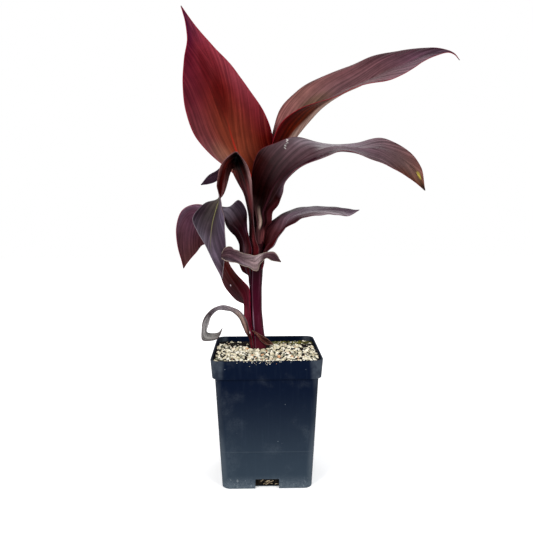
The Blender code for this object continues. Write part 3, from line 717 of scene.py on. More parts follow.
# Grit: loose stones, a few forms copied many times. Sizes are radii in mm
grit = dict(
    forms=9, chips=7, seed=21, coarser=0.6, smallest=1.1, largest=3.1, sizeBias=1.3, pitch=4.3,
    jitter=0.55, layers=2, layerRise=0.75, layerGaps=0.25, sink=0.25, backShare=0.3, backSize=0.75,
    bareLeft=-14, bareShare=0.45, stemSpot=(-7.4, 12.0), stemClear=10.4, overFront=30, onSkirt=34,
    flattest=(0.8, 0.8, 0.6), roundest=(1.25, 1.1, 0.95), speckDark=colour(120, 104, 80),
    speckLight=colour(250, 244, 230),
    shades=[(0.0, 84, 88, 76), (0.09, 128, 128, 108), (0.18, 186, 176, 146),
            (0.36, 216, 206, 176), (0.6, 236, 228, 204), (0.86, 250, 246, 230),
            (0.95, 238, 226, 198), (0.975, 214, 166, 124), (1.0, 190, 126, 86)])


def stoneForms():
    # round stones with a few flat chipped sides
    rng = np.random.default_rng(grit["seed"])
    forms = []
    for _ in range(grit["forms"]):
        deselectAll()
        bpy.ops.mesh.primitive_ico_sphere_add(subdivisions=2, radius=1)
        pebble = bpy.context.object
        pebble.modifiers.new("coarser", 'DECIMATE').ratio = grit["coarser"]
        applyModifiers(pebble)
        points = readPoints(pebble.data)
        for _ in range(grit["chips"]):
            facing = unit(rng.normal(size=3))
            depth = rng.uniform(0.5, 0.82)
            beyond = np.clip(points @ facing - depth, 0, None)
            points = points - beyond[:, None] * facing
        faces = np.array([face.vertices[:] for face in pebble.data.polygons])
        forms.append((points, faces))
        bpy.data.objects.remove(pebble)
    return forms


def stoneSpots(rng):
    # where the stones lie: dense at the front, scattered on the soil at the back
    spots = []
    half = rimHalf(soil["bedFront"]) - 1.0
    pitch = grit["pitch"] * 1.0
    for layer in range(grit["layers"]):
        ticks = np.arange(-half, half + 0.1, pitch)
        for x in ticks:
            for y in ticks:
                px, py = np.array([x, y]) + rng.uniform(-grit["jitter"], grit["jitter"], 2) * pitch
                px, py = np.clip((px, py), -half, half)
                edge = soil["stoneEdge"] + 5 * math.sin(px / 11.0) + 3.5 * math.sin(px / 4.3 + 1)
                atFront = py < edge
                scattered = grit["backShare"] * (grit["bareShare"] if px < grit["bareLeft"] else 1.0)
                keep = 1.0 if atFront else scattered
                larger = rng.random() ** grit["sizeBias"]
                size = grit["smallest"] + (grit["largest"] - grit["smallest"]) * larger
                size *= 1.0 if atFront else grit["backSize"]
                if rng.random() > keep or (layer and rng.random() < grit["layerGaps"]):
                    continue
                cornerAt = half - pot["corner"] + 2
                over = math.hypot(max(0, abs(px) - cornerAt), max(0, abs(py) - cornerAt))
                nearStem = math.dist((px, py), grit["stemSpot"]) < grit["stemClear"] + size
                if over > pot["corner"] - 2 - size * 0.5 or nearStem:
                    continue
                lift = bedHeight(px, py) - size * grit["sink"] + layer * grit["layerRise"] * atFront
                spots.append((px, py, lift, size))
    # a few stones have rolled onto the front of the rim
    for _ in range(grit["overFront"]):
        px = rng.uniform(-38, 34)
        size = rng.uniform(0.5, 1.1)
        spots.append((px, -55.1 + rng.uniform(-0.3, 0.6), pot["height"] + size * 0.4, size))
    # crumbs cling to the skirt just below
    for _ in range(grit["onSkirt"]):
        level = pot["height"] - 0.5 - 5.0 * rng.random() ** 2
        px = np.clip(rng.normal(-6, 14), -38, 28)
        spots.append((px, -rimHalf(level) - pot["wall"], level, rng.uniform(0.22, 0.5)))
    return spots


def makeGrit():
    rng = np.random.default_rng(grit["seed"] + 1)
    forms = stoneForms()
    points, faces, tints = [], [], []
    for px, py, pz, size in stoneSpots(rng):
        form, corners = forms[rng.integers(len(forms))]
        turned, _ = np.linalg.qr(rng.normal(size=(3, 3)))
        if np.linalg.det(turned) < 0:
            turned[:, 0] *= -1
        stretch = rng.uniform(grit["flattest"], grit["roundest"])
        faces.append(corners + len(form) * len(points))
        points.append((form * stretch) @ turned.T * size + (px, py, pz))
        tints.append(np.full(len(form), rng.random()))
    mesh = bpy.data.meshes.new("gritStones")
    mesh.from_pydata((np.concatenate(points) * mm).tolist(), [], np.concatenate(faces).tolist())
    piece = addObject("gritStones", mesh)
    pointValues(piece, "tint", np.concatenate(tints))
    makeActive(piece)
    bpy.ops.object.shade_smooth_by_angle(angle=math.radians(30))
    mesh.materials.append(stoneFinish())
    finishPiece(piece, "grit", "grit")


def stoneFinish():
    material = newMaterial("washedGrit", 0.75, 0.35)
    mottle = grain(place(), 700.0, 4.0, 0.65)
    shade = paint(ramp(fromPoints("tint"), grit["shades"], colour),
                  (fade(mottle, 0.5, 0.75, 0.0, 0.5), grit["speckDark"]),
                  (fade(mottle, 0.45, 0.25, 0.0, 0.4), grit["speckLight"]))
    setLook({"Base Color": shade, "Normal": bump(mottle, 0.0004, 0.7)})
    return material


# Stem: sheaths rolled over each other. A lap's edge is its angle in degrees round the stem, 270 at the
# front, how it turns with each mm of height, and how far its pale line, a painted highlight, is kept back
stem = dict(
    sides=72, rings=190, foot=95.0, top=304.0, lap=0.55, lapWidth=26.0, ribs=0.09,
    laps=[(236.0, -0.05, 0.0), (300.0, 0.04, 9.0), (20.0, 0.03, 9.0), (150.0, -0.02, 9.0)],
    # the near-black band high up is painted shade under the leaves
    shades=[(0.0, 120, 60, 64), (0.17, 96, 34, 44), (0.26, 84, 24, 42),
            (0.45, 64, 14, 32), (0.55, 48, 10, 26), (0.62, 20, 2, 5),
            (0.75, 46, 8, 12), (1.0, 60, 14, 18)],
    lapHighlight=leafShade(182, 148, 170), fibreLight=leafShade(134, 74, 98), fibreDark=leafShade(44, 6, 20),
    blotch=leafShade(60, 10, 30))


def makeStem():
    deselectAll()
    height = stem["top"] - stem["foot"]
    bpy.ops.mesh.primitive_cylinder_add(vertices=stem["sides"], radius=1, depth=2)
    piece = bpy.context.object
    piece.name = "falseStem"
    bpy.ops.object.mode_set(mode='EDIT')
    pick('EDGE', lambda edge: abs(edge.verts[0].co.z - edge.verts[1].co.z) > 1)
    bpy.ops.mesh.subdivide(number_cuts=stem["rings"] // 1)
    bpy.ops.object.mode_set(mode='OBJECT')
    flat = readPoints(piece.data)
    up = (flat[:, 2] + 1) / 2
    level = stem["foot"] + up * height
    angle = np.degrees(np.arctan2(flat[:, 1], flat[:, 0])) % 360
    x, y, radius = stemAt(level)
    proud = stem["ribs"] * np.sin(np.radians(angle) * 23 + up * 3)
    edgeGap = np.full(len(flat), 99.0)
    for start, twist, plain in stem["laps"]:
        past = (angle - start - twist * (level - 134.0) + 360) % 360
        rise = np.clip(1 - past / stem["lapWidth"], 0, 1)
        proud = proud + stem["lap"] * rise
        edgeGap = np.minimum(edgeGap, past + plain)
    reach = radius + proud - stem["lap"] * 0.6
    turn = np.radians(angle)
    writePoints(piece.data, np.stack([x + reach * np.cos(turn), y + reach * np.sin(turn), level], -1) * mm)
    pointValues(piece, "up", up)
    pointValues(piece, "edgeGap", edgeGap)
    makeActive(piece)
    bpy.ops.object.shade_smooth_by_angle(angle=math.radians(60))
    piece.data.materials.append(stemSkin())
    finishPiece(piece, "stem", "stem")


def stemSkin():
    material = newMaterial("waxyStem", 0.4, 0.03)
    up = fromPoints("up")
    fibres = grain(place((600, 600, 12)), 1.0, 4.0, 0.6)
    blotch = grain(place((1, 1, 0.4)), 160.0, 3.0, 0.6)
    # the pale line along each lap's edge is a painted highlight
    lap = fade(fromPoints("edgeGap"), 2.0, 15.0, 0.9, 0.0)
    lapHighlightRun = times(fade(up, 0.42, 0.3, 0.15, 1.0), fade(up, 0.2, 0.28, 0.2, 1.0))
    # colours by height, with painted shade high up under the leaves
    shade = paint(ramp(up, stem["shades"], leafShade),
                  (fade(fibres, 0.52, 0.8, 0.0, 0.3), stem["fibreLight"]),
                  (fade(fibres, 0.45, 0.2, 0.0, 0.5), stem["fibreDark"]),
                  (times(lap, lapHighlightRun), stem["lapHighlight"]),
                  (fade(blotch, 0.5, 0.75, 0.0, 0.4), stem["blotch"]))
    rough = fade(blotch, 0.3, 0.7, 0.36, 0.5)
    setLook({"Base Color": shade, "Roughness": rough, "Normal": bump(fibres, 0.0003, 0.6)})
    return material


# Roots: pale threads that show in the drain notches
roots = dict(
    count=8, thickness=0.22, joints=8, spread=0.45, lowest=2.8, highest=8.8, loop=1.7, loopHeight=6.4,
    loopPoints=12, seed=8, shade=colour(176, 160, 132), shadeDark=colour(120, 100, 76))


def makeRoots():
    rng = np.random.default_rng(roots["seed"])
    curve = bpy.data.curves.new("rootThreads", 'CURVE')
    curve.dimensions = '3D'
    curve.bevel_depth = roots["thickness"] * mm
    curve.bevel_resolution = 1
    curve.use_fill_caps = True
    reach = bodyHalf(pot["drainHeight"] / 2) - 0.3
    for side in range(4):
        cosine, sine = math.cos(side * math.pi / 2), math.sin(side * math.pi / 2)
        for _ in range(roots["count"]):
            line = curve.splines.new('POLY')
            line.points.add(roots["joints"] - 1)
            across = rng.uniform(-roots["spread"], roots["spread"]) * pot["drainWidth"]
            level = rng.uniform(3.2, pot["drainHeight"] - 1.2)
            drift = rng.uniform(-1.2, 1.2)
            for point in line.points:
                out = reach + rng.uniform(0.0, 0.3)
                px = across * cosine + out * sine
                py = across * sine - out * cosine
                point.co = (px * mm, py * mm, level * mm, 1)
                across = float(np.clip(across + drift, -11, 11))
                level = float(np.clip(level + rng.uniform(-0.9, 0.9), roots["lowest"], roots["highest"]))
    # one root shows as a small ring in the front notch
    line = curve.splines.new('POLY')
    line.points.add(roots["loopPoints"] - 1)
    line.use_cyclic_u = True
    for step, point in enumerate(line.points):
        angle = step * 2 * math.pi / roots["loopPoints"]
        point.co = (roots["loop"] * (0.4 + math.cos(angle)) * mm, -(reach + 0.25) * mm,
                    (roots["loopHeight"] + roots["loop"] * math.sin(angle)) * mm, 1)
    makeActive(addObject("rootThreads", curve))
    bpy.ops.object.convert(target='MESH')
    piece = bpy.context.object
    material = newMaterial("paleRoot", 0.8, 0.3)
    fibre = grain(place(), 500.0, 2.0, 0.5)
    setLook({"Base Color": mixColour(fade(fibre, 0.35, 0.65), roots["shade"], roots["shadeDark"])})
    piece.data.materials.clear()
    piece.data.materials.append(material)
    finishPiece(piece, "rhizome")


def dressNode(node, material):
    # a node whose shape stays as it is gets a better material
    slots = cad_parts[node].data.materials
    slots.clear()
    slots.append(material)


def dressHiddenNodes():
    # soil seen in the drain notches, painted near black for the shade inside them, and the rhizome inside
    # it
    dressNode("soil", soilFinish("packedSoil", False))
    material = newMaterial("rhizomeSkin", 0.8, 0.3)
    rings = grain(place((260, 20, 20)), 1.0, 3.0, 0.6)
    shade = mixColour(fade(rings, 0.4, 0.65), colour(176, 146, 112), colour(96, 66, 50))
    setLook({"Base Color": shade, "Normal": bump(rings, 0.001, 0.8)})
    dressNode("rhizome", material)


makeCamera()
makeStudio()
dressHiddenNodes()
makePot()
makeBed()
makeGrit()
makeStem()
makeRoots()


# Upright leaf, its upper side to the front. Its orange-red glow and bright red midrib low down are painted
# light shining through the leaf, and its first stain is a painted highlight
uprightLeaf = dict(
    sheath=[(283, 140, 40), (297, 140, 42)], crown=0.05, wave=0.6, rib=1.8,
    rows=[
        ((-4.5, 18, 308.5), (-12, 19, 312.5), (-20.5, 13, 307)),
        ((1, 20, 331), (-18.5, 29, 326.5), (-36, 24, 324)),
        ((8.5, 18, 350), (-29.5, 34, 343.5), (-56.5, 24, 340)),
        ((6, 16, 370.5), (-38, 35, 369.5), (-74.5, 22, 361)),
        ((-4, 16, 391.5), (-43.5, 35, 394.5), (-84.5, 20, 387)),
        ((-20, 18, 415), (-49.5, 35, 420.5), (-87.5, 22, 416)),
        ((-38, 24, 439.5), (-59.5, 35, 444), (-86.5, 27, 443.5)),
        ((-57.5, 29, 461), (-71, 35, 464), (-83, 30, 465.5)),
        ((-74.5, 33, 481), (-80.5, 35, 484), (-85.5, 33, 485.5))],
    tip=(-89.5, 34.5, 501.5),
    upper=dict(
        middle=[(0.08, 98, 30, 8), (0.2, 90, 28, 8), (0.3, 128, 60, 42), (0.45, 112, 46, 34),
                (0.6, 102, 30, 29), (0.8, 118, 40, 50), (0.93, 104, 44, 66), (1.0, 40, 18, 36)],
        left=[(0.1, 76, 12, 5), (0.35, 84, 17, 13), (0.5, 110, 36, 43), (0.65, 134, 56, 66),
              (0.85, 139, 52, 64), (1.0, 56, 16, 36)],
        right=[(0.1, 112, 66, 54), (0.25, 125, 82, 82), (0.4, 109, 54, 58), (0.55, 94, 34, 44),
               (0.75, 88, 24, 38), (0.9, 70, 22, 48), (1.0, 30, 15, 44)],
        stains=[(0.22, 0.55, 0.17, 0.5, 0.6, 156, 104, 82), (0.56, 0.05, 0.13, 0.28, 0.6, 76, 12, 12),
                (0.7, 0.3, 0.1, 0.2, 0.5, 82, 14, 20)],
        contrast=0.28, tan=0.2, streakLight=(150, 96, 72), ribShade=(190, 40, 34), ribWidth=1.5,
        ribShare=0.9, ribRun=(0.24, 0.5), marginShade=(150, 20, 46), marginWidth=1.2, roughness=0.5),
    under=dict(
        middle=[(0.05, 70, 16, 14), (0.3, 78, 26, 24), (0.7, 76, 26, 34), (1.0, 48, 18, 30)],
        tan=0.07, streakLight=(120, 70, 62), ribShade=(124, 58, 50), ribWidth=2.2, ribShare=0.8,
        ribRun=(0.5, 1.0), marginShade=(120, 22, 42), roughness=0.5))
makeLeaf("uprightLeaf", "leaf_upright", uprightLeaf)


# Long leaf that arches to the right, behind
longLeaf = dict(
    sheath=[(285, 30, 38), (298, 30, 40)], crown=0.06, wave=0.5, rib=1.8,
    rows=[
        ((5, 11, 321.5), (7.5, 18, 320), (1, 25, 324)),
        ((7, 2, 348.5), (19, 12, 339.5), (6, 30, 348)),
        ((14, -8, 368.5), (33, 10, 360), (9.5, 32, 370)),
        ((32, -16, 382), (45.5, 8, 375), (18, 32, 394)),
        ((52.5, -24, 388.5), (59.5, 4, 389), (35.5, 30, 411.5)),
        ((74, -32, 394.5), (79, 0, 401.5), (60, 27, 424.5)),
        ((94, -36, 402), (100, -4, 410.5), (88.5, 22, 435)),
        ((116, -36, 406.5), (120.5, -8, 421.5), (114, 16, 443.5)),
        ((136, -32, 413.5), (142, -12, 429.5), (140.5, 6, 447)),
        ((158.5, -24, 429), (162.5, -14, 437), (164.5, -4, 447)),
        ((180, -17, 438), (180.5, -15, 440), (181, -13, 442.5)),
        ((189.6, -15.8, 437), (190, -15, 437.8), (190.4, -14.2, 438.6))],
    tip=(196, -15, 431.5),
    upper=dict(
        middle=[(0.1, 96, 24, 20), (0.3, 134, 82, 80), (0.42, 120, 84, 80), (0.55, 124, 88, 92),
                (0.7, 112, 76, 82), (0.82, 104, 72, 86), (0.93, 76, 58, 70), (1.0, 30, 24, 34)],
        left=[(0.1, 90, 40, 36), (0.42, 92, 52, 46), (0.6, 128, 88, 92), (0.82, 136, 108, 118),
              (0.95, 84, 66, 78), (1.0, 34, 26, 36)],
        right=[(0.1, 62, 4, 4), (0.23, 72, 10, 10), (0.31, 168, 106, 104), (0.45, 142, 96, 90),
               (0.6, 126, 80, 84), (0.72, 90, 56, 64), (0.85, 70, 40, 50), (1.0, 36, 26, 36)],
        stains=[(0.42, 0.2, 0.12, 0.35, 0.6, 98, 80, 58)],
        contrast=0.34, tan=0.1, streakLight=(160, 130, 130), ribShade=(160, 128, 124), ribWidth=1.3,
        ribShare=0.6, ribRun=(0.5, 0.9), marginShade=(140, 34, 52), marginWidth=0.9),
    under=dict(
        middle=[(0.08, 60, 8, 5), (0.2, 76, 22, 6), (0.32, 84, 28, 9), (0.45, 88, 42, 28),
                (0.8, 96, 70, 78), (1.0, 44, 34, 44)],
        left=[(0.1, 60, 6, 4), (0.25, 68, 8, 5), (0.34, 72, 15, 10), (0.45, 78, 30, 20), (1.0, 44, 34, 44)],
        contrast=0.45, tan=0.07, streakLight=(140, 104, 84), ribShade=(190, 158, 144), ribWidth=8.0,
        ribShare=0.95, ribRun=(0.55, 0.9), ribGaps=0.3, marginShade=(150, 40, 50)))
makeLeaf("longLeaf", "leaf_long", longLeaf)


# Leaf that folds over and twists to the right, in front. Near its foot the under side is painted dark for
# the shade in the fold by the stem, and the near-white oval at 0.12 along is a painted lit sliver in that
# shade
twistedLeaf = dict(
    sheath=[(244, 295, 48), (260, 295, 62)], crown=0.08, wave=0.5, rib=1.6,
    rows=[
        ((-9, 5, 269.5), (-1.5, 1, 269.5), (6.5, 5, 269.5)),
        ((-12, 7, 285.5), (-2.5, -3, 280), (8, 3, 280)),
        ((-14, 6, 301), (2.5, -9, 292), (14, -9, 288.5)),
        ((-13.5, 5, 322), (9.5, -12, 306), (17, -24, 299)),
        ((-6.5, -2, 343), (20, -15, 318), (19, -36, 309.5)),
        ((11, -6, 351), (32, -18, 328), (28.5, -42, 319.5)),
        ((29.5, -8, 356.5), (46, -21, 336.5), (45, -46, 328)),
        ((54, -2, 352), (61.5, -23, 343), (60.5, -48, 333.5)),
        ((76.5, 2, 350.5), (74.5, -24, 344), (73.5, -50, 337.5)),
        ((97, 0, 351.5), (94.5, -26, 342.5), (91, -50, 333.5)),
        ((122.5, -8, 355), (116, -28, 340.5), (111, -46, 326.5)),
        ((145.5, -16, 341), (136.5, -30, 329.5), (128.5, -42, 318.5)),
        ((156.5, -24, 323), (149.5, -31, 315.5), (142, -36, 312.5))],
    tip=(158.5, -32, 300.5),
    upper=dict(
        middle=[(0.1, 30, 4, 6), (0.3, 46, 12, 18), (0.6, 72, 34, 46), (1.0, 78, 44, 44)],
        tan=0.05, streakLight=(100, 66, 76), ribShade=(96, 50, 54), ribWidth=1.8, ribShare=0.6,
        ribRun=(0.5, 1.0), marginShade=(112, 40, 52), roughness=0.45),
    under=dict(
        middle=[(0.03, 74, 36, 38), (0.1, 24, 4, 5), (0.25, 32, 12, 15), (0.36, 58, 38, 42),
                (0.48, 98, 74, 80), (0.56, 124, 104, 112), (0.63, 126, 106, 116), (0.72, 108, 84, 93),
                (0.85, 102, 77, 76), (1.0, 96, 60, 36)],
        left=[(0.03, 100, 60, 64), (0.13, 120, 84, 84), (0.21, 40, 6, 5), (0.33, 42, 16, 16),
              (0.44, 94, 74, 80), (0.54, 150, 138, 146), (0.65, 138, 120, 132), (0.8, 118, 88, 92),
              (1.0, 112, 66, 48)],
        right=[(0.03, 84, 38, 40), (0.13, 84, 32, 38), (0.24, 36, 12, 14), (0.34, 116, 94, 108),
               (0.46, 116, 86, 95), (0.54, 88, 50, 60), (0.62, 104, 84, 90), (0.78, 102, 80, 84),
               (0.88, 98, 60, 52), (1.0, 78, 42, 24)],
        stains=[(0.94, -0.35, 0.022, 0.3, 0.85, 180, 164, 70), (1.0, 0.0, 0.035, 1.2, 0.9, 20, 14, 14),
                (0.4, 0.52, 0.09, 0.3, 1.0, 46, 10, 24), (0.48, 0.54, 0.08, 0.3, 1.0, 50, 12, 28),
                (0.55, 0.5, 0.07, 0.28, 1.0, 60, 16, 34), (0.12, -0.5, 0.055, 0.32, 1.0, 255, 216, 200),
                (0.03, 0.05, 0.06, 0.4, 0.8, 140, 76, 76), (0.443, -0.94, 0.004, 0.05, 0.9, 214, 208, 204),
                (0.437, -0.87, 0.003, 0.07, 0.9, 190, 182, 180),
                (0.43, -0.83, 0.006, 0.025, 0.8, 176, 168, 166),
                (0.422, -0.79, 0.004, 0.05, 0.9, 214, 208, 204),
                (0.415, -0.72, 0.003, 0.06, 0.9, 200, 192, 190)],
        contrast=0.35, streakLight=(160, 146, 156), ribShade=(60, 26, 34), ribWidth=1.3, ribShare=0.55,
        ribRun=(0.4, 0.9), marginShade=(120, 60, 68), marginWidth=0.7, marginShare=0.6, gloss=0.03,
        roughness=0.4))
makeLeaf("twistedLeaf", "leaf_twisted", twistedLeaf)


# Leaf kinked over at the left, its far half hanging. The black band at the kink is painted shade in its
# crease, and the pale band on the under side's right before the kink is painted light
kinkedLeaf = dict(
    sheath=[(214, 240, 32), (236, 241, 38)], crown=0.06, wave=0.4, rib=1.8,
    rows=[
        ((-17, 6.5, 250.5), (-13.5, 1.5, 250.5), (-10, 0, 250.5)),
        ((-17.5, 8, 269.5), (-13.5, 0, 269.5), (-12, -6, 269.5)),
        ((-20.5, 9, 294), (-16, -3, 292.5), (-13.5, -12, 295)),
        ((-28.5, 12, 310), (-20, -5, 313), (-14.5, -20, 313.5)),
        ((-34.5, 16, 322), (-24, -8, 325), (-18.5, -24, 328.5)),
        ((-34.5, 13, 325), (-27.6, -10, 336.3), (-27.2, -28.5, 337.6)),
        ((-34.8, 10, 326.5), (-30.4, -12, 337.8), (-31, -31, 338.4)),
        ((-36, 7, 324.5), (-39, -15, 330.5), (-44, -32, 326.5)),
        ((-39.5, 4, 311.5), (-44.5, -16, 314), (-48.5, -34, 308)),
        ((-44.5, 0, 298), (-46, -16, 302), (-48, -32, 301)),
        ((-51, 2, 293.5), (-47, -17, 293), (-44.5, -36, 291)),
        ((-64.5, 0, 289.5), (-49.5, -16, 286), (-43, -38, 283)),
        ((-76, -4, 275), (-53.5, -15, 273), (-41.5, -36, 275.5)),
        ((-71, -8, 260.5), (-56, -14, 260.5), (-41.5, -28, 260.5)),
        ((-62, -8, 243.5), (-57, -12, 244), (-41, -19, 244)),
        ((-55, -8, 228), (-53.5, -10, 229), (-43, -13, 228)),
        ((-48.5, -7, 215), (-47.5, -7.5, 215.5), (-45, -8, 215.5))],
    tip=(-46, -6, 209.5),
    upper=dict(
        middle=[(0.1, 60, 20, 24), (0.55, 80, 60, 56), (0.63, 122, 112, 100), (0.72, 58, 50, 50),
                (0.8, 68, 56, 64), (0.9, 100, 86, 102), (1.0, 78, 58, 66)],
        left=[(0.1, 60, 20, 24), (0.62, 88, 74, 80), (0.74, 50, 36, 46), (0.82, 84, 76, 86),
              (1.0, 96, 84, 98)],
        right=[(0.1, 60, 20, 24), (0.64, 98, 84, 92), (0.76, 88, 76, 94), (0.84, 70, 54, 68),
               (0.93, 60, 46, 52), (1.0, 66, 44, 48)],
        contrast=0.35, streakLight=(130, 120, 130), ribShade=(164, 160, 104), ribWidth=1.6, ribShare=0.9,
        ribRun=(0.66, 0.92), marginShade=(170, 158, 166), marginShare=0.7, gloss=0.03, roughness=0.4),
    under=dict(
        middle=[(0.08, 78, 20, 26), (0.22, 100, 54, 58), (0.32, 118, 66, 70), (0.4, 62, 30, 28),
                (0.46, 12, 2, 2), (0.54, 72, 26, 24), (0.6, 60, 16, 12), (0.68, 48, 10, 8),
                (1.0, 56, 24, 28)],
        left=[(0.1, 68, 16, 20), (0.24, 72, 26, 30), (0.34, 96, 44, 52), (0.42, 84, 40, 36),
              (0.5, 38, 5, 4), (0.6, 110, 64, 64), (1.0, 56, 24, 28)],
        right=[(0.1, 70, 20, 24), (0.28, 80, 40, 42), (0.38, 176, 138, 136), (0.45, 112, 72, 72),
               (0.54, 128, 84, 84), (0.64, 56, 14, 9), (1.0, 56, 24, 28)],
        stains=[(0.27, 0.15, 0.13, 0.3, 0.7, 124, 66, 68), (0.47, 0.0, 0.05, 1.1, 1.0, 8, 2, 2)],
        contrast=0.45, tan=0.07, streakLight=(130, 90, 80), ribShade=(96, 34, 36), ribWidth=2.0,
        ribShare=0.5, ribRun=(0.3, 0.5), marginShade=(120, 84, 86), marginWidth=0.7, marginShare=0.6,
        roughness=0.45))
makeLeaf("kinkedLeaf", "leaf_kinked", kinkedLeaf)


# Leaf from the lowest sheath, arched up and hanging. Its under side is painted brighter near the foot,
# painted light against the shade there, and its pale lilac stretch on the right is painted sheen
lowerLeaf = dict(
    sheath=[(128.2, 190, 38), (146, 190, 46)], crown=0.06, wave=0.5, rib=1.7,
    rows=[
        ((-19.5, 17, 157.5), (-22.5, 11, 158.5), (-15.8, 6.3, 159.5)),
        ((-19.5, 18, 177.5), (-23, 12, 178), (-16.2, 5.6, 181.5)),
        ((-24.5, 25, 179), (-24, 14, 188), (-17.4, 5.5, 197.5)),
        ((-34.5, 34, 183.5), (-30, 19, 198), (-24, 6, 206)),
        ((-45.5, 38, 195.5), (-39, 24, 211), (-33, 8, 216)),
        ((-52, 41, 212), (-48, 28, 228.5), (-41.5, 10, 233)),
        ((-57, 43, 228), (-58, 30, 249.5), (-49, 14, 258)),
        ((-62.5, 44, 238), (-69, 32, 269.5), (-58.5, 18, 282.5)),
        ((-67, 43, 243.5), (-79.5, 30, 279.5), (-74, 18, 288.5)),
        ((-71, 39, 243), (-87, 26, 272), (-90, 16, 282.5)),
        ((-77, 31, 235.5), (-92, 22, 254.5), (-96.5, 14, 263.5)),
        ((-84, 22, 227), (-92, 18, 237), (-94.5, 14, 243))],
    tip=(-89, 14, 219.5),
    upper=dict(
        middle=[(0.05, 90, 20, 36), (0.4, 70, 40, 44), (0.7, 78, 56, 66), (1.0, 70, 44, 50)],
        streakLight=(120, 100, 112), ribShade=(130, 96, 90), ribWidth=1.6, ribShare=0.7, ribRun=(0.4, 0.9),
        marginShade=(140, 30, 54)),
    under=dict(
        middle=[(0.03, 150, 40, 70), (0.13, 176, 66, 88), (0.22, 80, 24, 36), (0.34, 46, 9, 6),
                (0.46, 72, 24, 22), (0.6, 90, 48, 56), (0.74, 122, 80, 100), (0.86, 106, 66, 76),
                (1.0, 82, 48, 42)],
        left=[(0.1, 70, 30, 40), (0.22, 68, 44, 50), (0.36, 66, 36, 40), (0.5, 76, 44, 42),
              (0.75, 86, 48, 54), (1.0, 96, 62, 60)],
        right=[(0.05, 140, 30, 60), (0.2, 92, 36, 48), (0.34, 56, 4, 5), (0.5, 70, 20, 20),
               (0.68, 156, 122, 144), (0.76, 152, 116, 138), (0.86, 112, 72, 90), (1.0, 66, 38, 36)],
        stains=[(0.358, -0.53, 0.006, 0.07, 0.9, 210, 190, 196)],
        contrast=0.26, streakLight=(120, 64, 76), ribShade=(96, 50, 56), ribWidth=1.5, ribShare=0.4,
        ribRun=(0.3, 0.8), marginShade=(150, 18, 54), marginWidth=0.9, marginShare=0.7, roughness=0.45))
makeLeaf("lowerLeaf", "leaf_lower_left", lowerLeaf)


# Small cupped leaf left of the stem
cuppedLeaf = dict(
    sheath=[(196, 182, 30), (207, 182, 34)], crown=0.1, wave=0.3, rib=1.8,
    rows=[
        ((-25.5, 12, 216.5), (-20.5, 9.5, 217), (-16.6, 5, 218)),
        ((-28.6, 13, 227), (-23, 7, 229), (-15, 3.5, 231)),
        ((-28, 13, 239), (-23, 5.5, 240.5), (-14.6, 2.5, 243)),
        ((-29.5, 14, 250), (-23.5, 4, 250.5), (-18, -5, 256)),
        ((-36, 14, 257.5), (-28, 4, 261), (-19, -12, 267.5)),
        ((-41, 14, 264), (-34.5, 4, 267.5), (-19.5, -12, 280.5)),
        ((-44, 14, 273), (-40.5, 4, 274), (-27.5, -10, 292.5)),
        ((-49.5, 12, 278), (-49, 5, 280), (-38, -4, 286)),
        ((-56, 10, 277), (-58, 7, 281.5), (-53, 2, 286))],
    tip=(-64.5, 9, 278.5),
    upper=dict(
        middle=[(0.1, 50, 18, 22), (0.6, 56, 30, 40), (1.0, 76, 52, 66)],
        streakLight=(100, 82, 96), ribShade=(96, 66, 72), ribWidth=1.4, ribShare=0.6, ribRun=(0.6, 1.0),
        marginShade=(96, 44, 60)),
    under=dict(
        middle=[(0.22, 66, 24, 28), (0.38, 84, 54, 58), (0.48, 62, 26, 32), (0.6, 50, 17, 25),
                (0.68, 72, 46, 52), (0.76, 120, 106, 118), (0.84, 146, 134, 148), (1.0, 94, 76, 92)],
        left=[(0.2, 56, 18, 20), (0.45, 52, 24, 30), (0.6, 46, 20, 30), (0.73, 60, 44, 50),
              (1.0, 80, 62, 76)],
        right=[(0.2, 56, 16, 18), (0.38, 66, 14, 20), (0.5, 62, 16, 20), (0.56, 84, 50, 66),
               (0.64, 30, 2, 3), (0.76, 86, 70, 86), (0.84, 146, 136, 150), (1.0, 80, 62, 76)],
        tan=0.05, streakLight=(126, 110, 128), ribShade=(90, 70, 80), ribWidth=1.3, ribShare=0.5,
        ribRun=(0.6, 1.0), marginShade=(90, 60, 74), marginWidth=0.7, marginShare=0.6, gloss=0.015,
        roughness=0.4))
makeLeaf("cuppedLeaf", "leaf_cupped", cuppedLeaf)


# Narrow leaf behind
backLeaf = dict(
    sheath=[(246, 150, 34), (258, 150, 36)], crown=0.08, wave=0.3, rib=1.6, count=90,
    rows=[
        ((-10, 25, 280.5), (-15.5, 21, 279.5), (-17, 15, 277)),
        ((-12, 31, 297), (-16.5, 27, 296), (-18.5, 20, 293.5)),
        ((-20, 40, 312), (-20, 35, 315), (-17.5, 29, 318)),
        ((-30, 48, 321.5), (-25.5, 44, 329), (-22, 40, 335.5)),
        ((-42, 56, 327), (-39, 50, 336.5), (-38, 46, 342.5)),
        ((-56, 56, 315.5), (-54, 52, 324.5), (-52.5, 48, 329)),
        ((-65, 54, 312.5), (-64.5, 51, 317.5), (-64, 48, 321.5))],
    tip=(-72.5, 50, 311.5),
    upper=dict(
        middle=[(0.1, 64, 20, 26), (0.6, 60, 36, 46), (1.0, 64, 46, 60)],
        streakLight=(104, 86, 100), ribShade=(96, 66, 72), ribWidth=1.3, ribShare=0.6, ribRun=(0.6, 1.0),
        marginShade=(104, 60, 74)),
    under=dict(
        middle=[(0.1, 70, 18, 22), (0.5, 58, 32, 42), (0.78, 78, 52, 66), (0.92, 68, 48, 62),
                (1.0, 56, 38, 52)],
        left=[(0.1, 60, 14, 18), (0.7, 56, 34, 46), (1.0, 58, 42, 54)],
        tan=0.05, streakLight=(110, 92, 106), ribShade=(90, 66, 78), ribWidth=1.3, ribShare=0.5,
        ribRun=(0.6, 1.0), marginShade=(110, 88, 104), marginWidth=0.7))
makeLeaf("backLeaf", "leaf_back", backLeaf)


